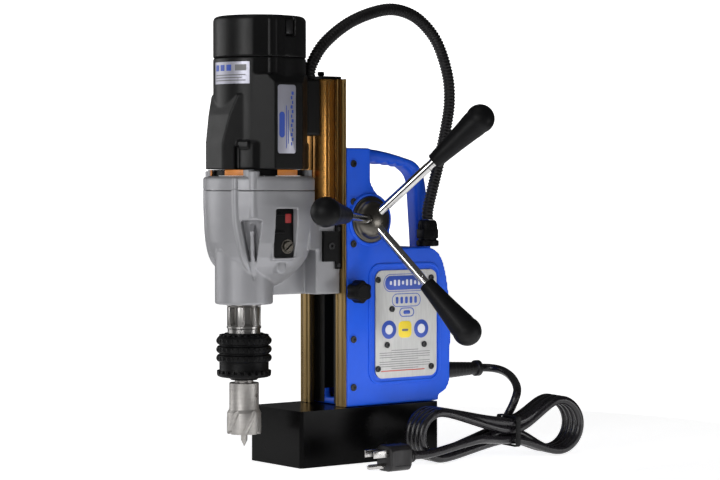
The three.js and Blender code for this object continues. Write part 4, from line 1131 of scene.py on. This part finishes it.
def motor_top():
    """The cap of the motor, with its brush notches and vents."""
    profile = [(0, MOTOR_HIGH + 0.3), (BODY - 0.6, MOTOR_HIGH + 0.3), (BODY, MOTOR_HIGH + 1)]
    for step in range(7):
        angle = math.radians(90 * step / 6)
        profile.append((BODY - 4.5 + 4.5 * math.cos(angle), CAP_TOP - 4.5 + 4.5 * math.sin(angle)))
    profile += [(20, CAP_TOP), (19.5, CAP_TOP - 0.6), (0, CAP_TOP - 0.6)]
    body = lathe("cap", profile, 144)
    flatten_sides(body, BODY, MOTOR_HIGH, CAP_TOP + 1)
    moved(body, None, (*MOTOR, 0))
    ridges = [radial_cut("ridge", a, 1.6, MOTOR_HIGH + 1, CAP_TOP - 4, 38, 40.7) for a in (-21, -11)]
    fuse(body, *ridges)
    cuts = [
        radial_cut("notch", 6.8, 12, 388, CAP_TOP + 1, BODY - 4),
        radial_cut("notch_back", -173.2, 12, 388, CAP_TOP + 1, BODY - 4),
        moved(rod("inside", 34, MOTOR_HIGH - 1, CAP_TOP - 8), None, (*MOTOR, 0)),
    ]
    for i in range(9):
        cuts.append(radial_cut("vent", 60 + 12 * i, 3.2, 376, 396, BODY - 2))
    carve(body, *cuts)
    return cast(body, 0.8, 3)


cap = motor_top()
place_piece(cap, MOTOR_BLACK, "carriage", ("motor_cap",), 0)
smooth(cap)
notch_frame = radial_cut("notch_brush", 6.8, 8.6, 390, 403, 34, BODY - 1.6)
place_piece(soften_baked(notch_frame, 0.8, 2), DARK_STEEL, "carriage")

label = wrapped("front_label", -104, -47, 345.5, 365, BODY, 0.3)
place_piece(label, LILAC, "carriage")
marks = []
for i in range(3):
    marks.append(wrapped("mark", -101 + 11 * i, -93.6 + 11 * i, 357, 362.4, BODY + 0.2, 0.25, 4))
place_piece(group("front_label_marks", *marks), BLUE_INK, "carriage")
marks = []
for i in range(3):
    low = 348 + 2.4 * i
    marks.append(wrapped("mark", -101, -52 - 5 * (i % 2), low, 348.9 + 2.4 * i, BODY + 0.2, 0.2))
marks.append(wrapped("mark", -66, -51, 357, 362.4, BODY + 0.2, 0.2, 6))
place_piece(group("front_label_lines", *marks), GREY_INK, "carriage")


def pad_mark(name, width, height, radius, centre, proud):
    outline = rounded(width, height, radius, centre, 4)
    return prism(name, "x", outline, PAD_FACE - 0.2, PAD_FACE + proud)


side_label = soften_baked(pad_mark("side_label", 19.5, 61, 2.4, (-98.9, 314), 0.3), 0.1)
place_piece(side_label, LILAC, "carriage")
place_piece(pad_mark("side_label_bar", 6, 23, 2.9, (-104.3, 309), 0.42), BLUE_INK, "carriage")
marks = []
for i in range(12):
    centre = (-93.9 + 1.1 * (i % 2), 292 + 4.1 * i)
    marks.append(pad_mark("mark", 1.3 + 0.5 * (i % 3), 3.0, 0.4, centre, 0.42))
for i in range(2):
    marks.append(pad_mark("mark", 0.7, 38 - 8 * i, 0.2, (-99.5 + 2.0 * i, 307), 0.42))
place_piece(group("side_label_lines", *marks), BLUE_INK, "carriage")
gap_low, gap_high = limits("fan_baffle")[0][2], limits("fan_baffle")[1][2]
for i, (start, end) in enumerate(((-79, -53), (-14, 14), (60, 120), (-170, -112))):
    piece = wrapped(f"coil_former_{i}", start, end, gap_low, gap_high, 44.2, 0.6)
    place_piece(soften_baked(piece, 0.3), ORANGE, "carriage")

# ---------------------------------------------------------------- spindle, arbor and cutter
def on_spindle(obj):
    """Puts a piece made about Z on the spindle's axis."""
    return moved(obj, None, (*SPINDLE, 0))


def arbor_piece():
    """The socket for the cutter, the six bars of the cage, their core and the disc above."""
    parts = [
        lathe("disc", [(4.2, 145.4), (13.6, 145.4), (15.8, 147), (15.8, 149.6), (15.1, 150.3),
                       (4.2, 150.3)], 72, closed=True),
        lathe("socket", [(8.7, 92), (15.2, 92), (15.8, 92.6), (15.8, 121), (14.8, 122.2), (14.8, 125.6),
                         (15.6, 126.4), (15.6, 128), (14, 129.4), (4.2, 129.4), (4.2, 112.4), (8.7, 112)],
              72, closed=True),
        tube("core", 4.2, 10.4, 128, 147, 48, 0.3),
    ]
    for i in range(6):
        bar = soften_baked(box("bar", (9.6, -3.2, 128), (15.4, 3.2, 146.5)), 1.2, 4)
        parts.append(moved(bar, turn("Z", 60 * i + 15)))
    return group("arbor_cage", *parts)


arbor = arbor_piece()
place_piece(on_spindle(arbor), ARBOR_STEEL, "spindle", ("arbor",), 30)

profile = [(16.2, 122), (16.2, 85), (8.9, 85), (8.9, 79.9), (9.6, 79.4), (12, 79.6), (13, 80.9),
           (22, 82.4), (23.8, 83.2), (24.4, 84.2), (24.4, 85.3), (23.8, 86.2), (22.8, 86.8),
           (22.3, 87.8), (22.3, 96)]
for rib in range(3):
    start = 96.6 + rib * 7.8
    profile += [(23.6, start - 0.2), (24.3, start + 0.5), (24.3, start + 5.2), (23.6, start + 5.9)]
    if rib < 2:
        profile += [(22.4, start + 6.3), (22.4, start + 7.2)]
profile += [(22.5, 119.4), (18.6, 119.5), (18.0, 120.1), (18.0, 121.3), (17.4, 121.9)]
collar = lathe("collar_body", profile, 120, closed=True)
BEAD_RADIUS, BEAD_REACH = 1.3, 2.21
bead_profile = [(0, -BEAD_REACH)]
for step in range(1, 8):
    angle = math.pi * step / 8
    bead_profile.append((BEAD_RADIUS * math.sin(angle), -BEAD_REACH * math.cos(angle)))
bead_profile.append((0, BEAD_REACH))
beads = []
for rib in range(3):
    for i in range(30):
        bead = moved(lathe("bead", bead_profile, 12), Matrix.Diagonal((0.9, 1, 1)),
                     (24.0, 0, 96.6 + 7.8 * rib + 2.85))
        beads.append(moved(bead, turn("Z", 12 * i)))
for i in range(24):
    tooth = soften_baked(box("tooth", (19.4, -1.4, 119), (22.3, 1.4, 120.7)), 0.3, 2)
    beads.append(moved(tooth, turn("Z", 15 * i)))
    dent = soften_baked(box("dent", (22.2, -1.8, 84.9), (24.5, 1.8, 88.4)), 0.4, 2)
    beads.append(moved(dent, turn("Z", 15 * i)))
collar = group("collar_body", collar, *beads)
place_piece(on_spindle(collar), BLACK, "collar", ("release_collar",), 38)


def helix(radius, start, low, high, lean, steps=14):
    made = []
    for step in range(steps + 1):
        height = low + (high - low) * step / steps
        angle = math.radians(start) + math.tan(math.radians(lean)) * (height - low) / 15.6
        made.append((radius * math.cos(angle), radius * math.sin(angle), height))
    return made


def cutter_piece():
    """The annular cutter: shank, six helical gullets, notched teeth and a hollow core."""
    profile = [(0, 31), (15.3, 31), (15.6, 31.4), (15.6, 49.8), (15.2, 50.6), (13.8, 52.6), (13.4, 53.6),
               (13.4, 76.6), (13.0, 77.1), (8.4, 77.1), (8.4, 108), (0, 108)]
    made = lathe("cutter", profile, 120)
    cuts = [rod("core", 11.6, 29, 64), rod("pin_bore", 3.4, 60, 109, 24)]
    for i in range(6):
        cuts.append(sweep("gullet", helix(16.9, 60 * i, 28, 55, 26), 2.9, 16))
        notch = prism("notch", "x", [(-2.2, 28), (3.4, 28), (2.2, 34.8), (-2.2, 33.2)], 10, 18)
        cuts.append(moved(notch, turn("Z", 60 * i + 2)))
    cuts.append(box("flat", (6.9, -6, 84), (10, 6, 100)))
    cuts.append(moved(rod("shoulder_mark", 1.6, 12, 15, 20), ALONG_X, (0, 0, 66)))
    carve(made, *cuts)
    return soften_baked(made, 0.18, 1, 40)


cutter = cutter_piece()
moved(cutter, turn("Z", 20))
cutter.name = "core_cutter"
place_piece(on_spindle(cutter), CUTTER, "spindle", ("annular_cutter",), 30)
pin_profile = [(0, 19.2), (0.5, 19.8), (2.7, 24.4), (3, 25.2), (3, 120.4), (2.6, 120.9), (0, 120.9)]
pin = lathe("pilot_point", pin_profile, 36)
place_piece(on_spindle(pin), CUTTER, "pin", ("pilot_pin",))

# ---------------------------------------------------------------- control panel
panel_face = limits("control_panel")[0][0]
frame_piece = band("switch_bezel", rounded(29, 20, 2.5, (48, 148)), rounded(24.8, 15.9, 1.2, (48, 148)),
                   panel_face - 1.2, panel_face + 0.6)
place_piece(soften_baked(frame_piece, 0.4, 2), BLACK, "frame")
for i, place in enumerate((33, 63)):
    ring = tube(f"button_ring_{i}", 9.8, 12.2, -1.2, 2.6, 64, 0.7)
    place_piece(moved(ring, turn("Y", -90), (panel_face + 0.5, place, 108)), STEEL, "frame")
for i, spot in enumerate([(23.5, 88), (72.5, 88), (23.5, 162), (72.5, 162)]):
    socket_screw(f"panel_screw_{i}", 2.6, 1.1, (panel_face + 0.2, *spot), turn("Y", -90))
lamp = lathe("magnet_lamp", [(0, 0), (3.4, 0), (3.4, 1.2), (2.6, 2.4), (1.2, 3), (0, 3.1)], 32)
place_piece(moved(lamp, turn("Y", -90), (panel_face + 0.2, 48, 128)), RED, "frame")

# ---------------------------------------------------------------- studio
def softbox(name, place, target, size, power, color=(1, 1, 1)):
    data = bpy.data.lights.new(name, "AREA")
    data.shape = "RECTANGLE"
    data.size, data.size_y = size
    data.energy = power
    data.color = color
    obj = link(name, data)
    obj.location = place
    direction = Vector(target) - Vector(place)
    obj.rotation_mode = "QUATERNION"
    obj.rotation_quaternion = direction.to_track_quat("-Z", "Y")
    return obj


VIEW = Vector((-0.79423, 0.60701, -0.02709))
floor = prism("floor", "z", [(-9000, -9000), (9000, -9000), (9000, 9000), (-9000, 9000)], -4, 0)
floor.data.materials.append(FAR_FLOOR)
floor.visible_glossy = False
moved(floor, None, (0, 0, -0.05))
near_floor = prism("near_floor", "z", arc((0, 20), 480, 0, 350, 71), -0.04, 0)
near_floor.data.materials.append(WHITE_FLOOR)
across = VIEW.cross(Vector((0, 0, 1))).normalized() * 9000
sheet_centre = VIEW * 7500 + Vector((0, 0, 4000))
corners = []
for u, v in ((-1, -1), (1, -1), (1, 1), (-1, 1)):
    corners.append(sheet_centre + across * u + Vector((0, 0, 5000 * v)))
backdrop = solid("backdrop", [*corners, *[c + VIEW * 20 for c in corners]],
                 [[0, 1, 2, 3], [4, 5, 6, 7], [0, 1, 5, 4], [1, 2, 6, 5], [2, 3, 7, 6], [3, 0, 4, 7]])
backdrop.data.materials.append(BACKDROP_PAPER)
backdrop.visible_glossy = False
backdrop.visible_diffuse = False
backdrop.visible_shadow = False

world = bpy.data.worlds.new("studio")
scene.world = world
world.use_nodes = True
world.node_tree.nodes["Background"].inputs["Color"].default_value = (1, 1, 1, 1)
world.node_tree.nodes["Background"].inputs["Strength"].default_value = 0.07

# Name, place, target and size in metres, and watts.
softbox("top_light", (0.2, -0.6, 1.9), (0, 0, 0.1), (1.2, 1.2), 3)
softbox("side_light", (0.95, 0.62, 0.02), (0.03, 0.02, 0.1), (0.4, 0.2), 1.5)
softbox("left_light", (-1.35, -1.0, 0.45), (0, -0.05, 0.22), (1.2, 1.0), 7.5)
softbox("front_light", (0.5, -1.65, 0.55), (0, -0.05, 0.2), (0.5, 0.9), 9.5)
softbox("edge_light", (1.22, -1.38, 0.42), (0.018, -0.04, 0.24), (0.1, 0.9), 2.8)
low_light = softbox("low_light", (0.21, 0.03, 0.03), (0.03, 0.04, 0.06), (0.3, 0.05), 0.3)
low_light.visible_glossy = False
low_light.visible_camera = False

camera_data = bpy.data.cameras.new("camera")
camera_data.lens = 110
camera_data.sensor_width = 36
camera_data.clip_start = 0.1
camera_data.clip_end = 60
camera = link("camera", camera_data)
camera.location = (1.63938, -1.23564, 0.25949)
camera.rotation_mode = "QUATERNION"
camera.rotation_quaternion = VIEW.to_track_quat("-Z", "Y")
scene.camera = camera
scene.view_settings.view_transform = "Standard"
scene.view_settings.look = "None"
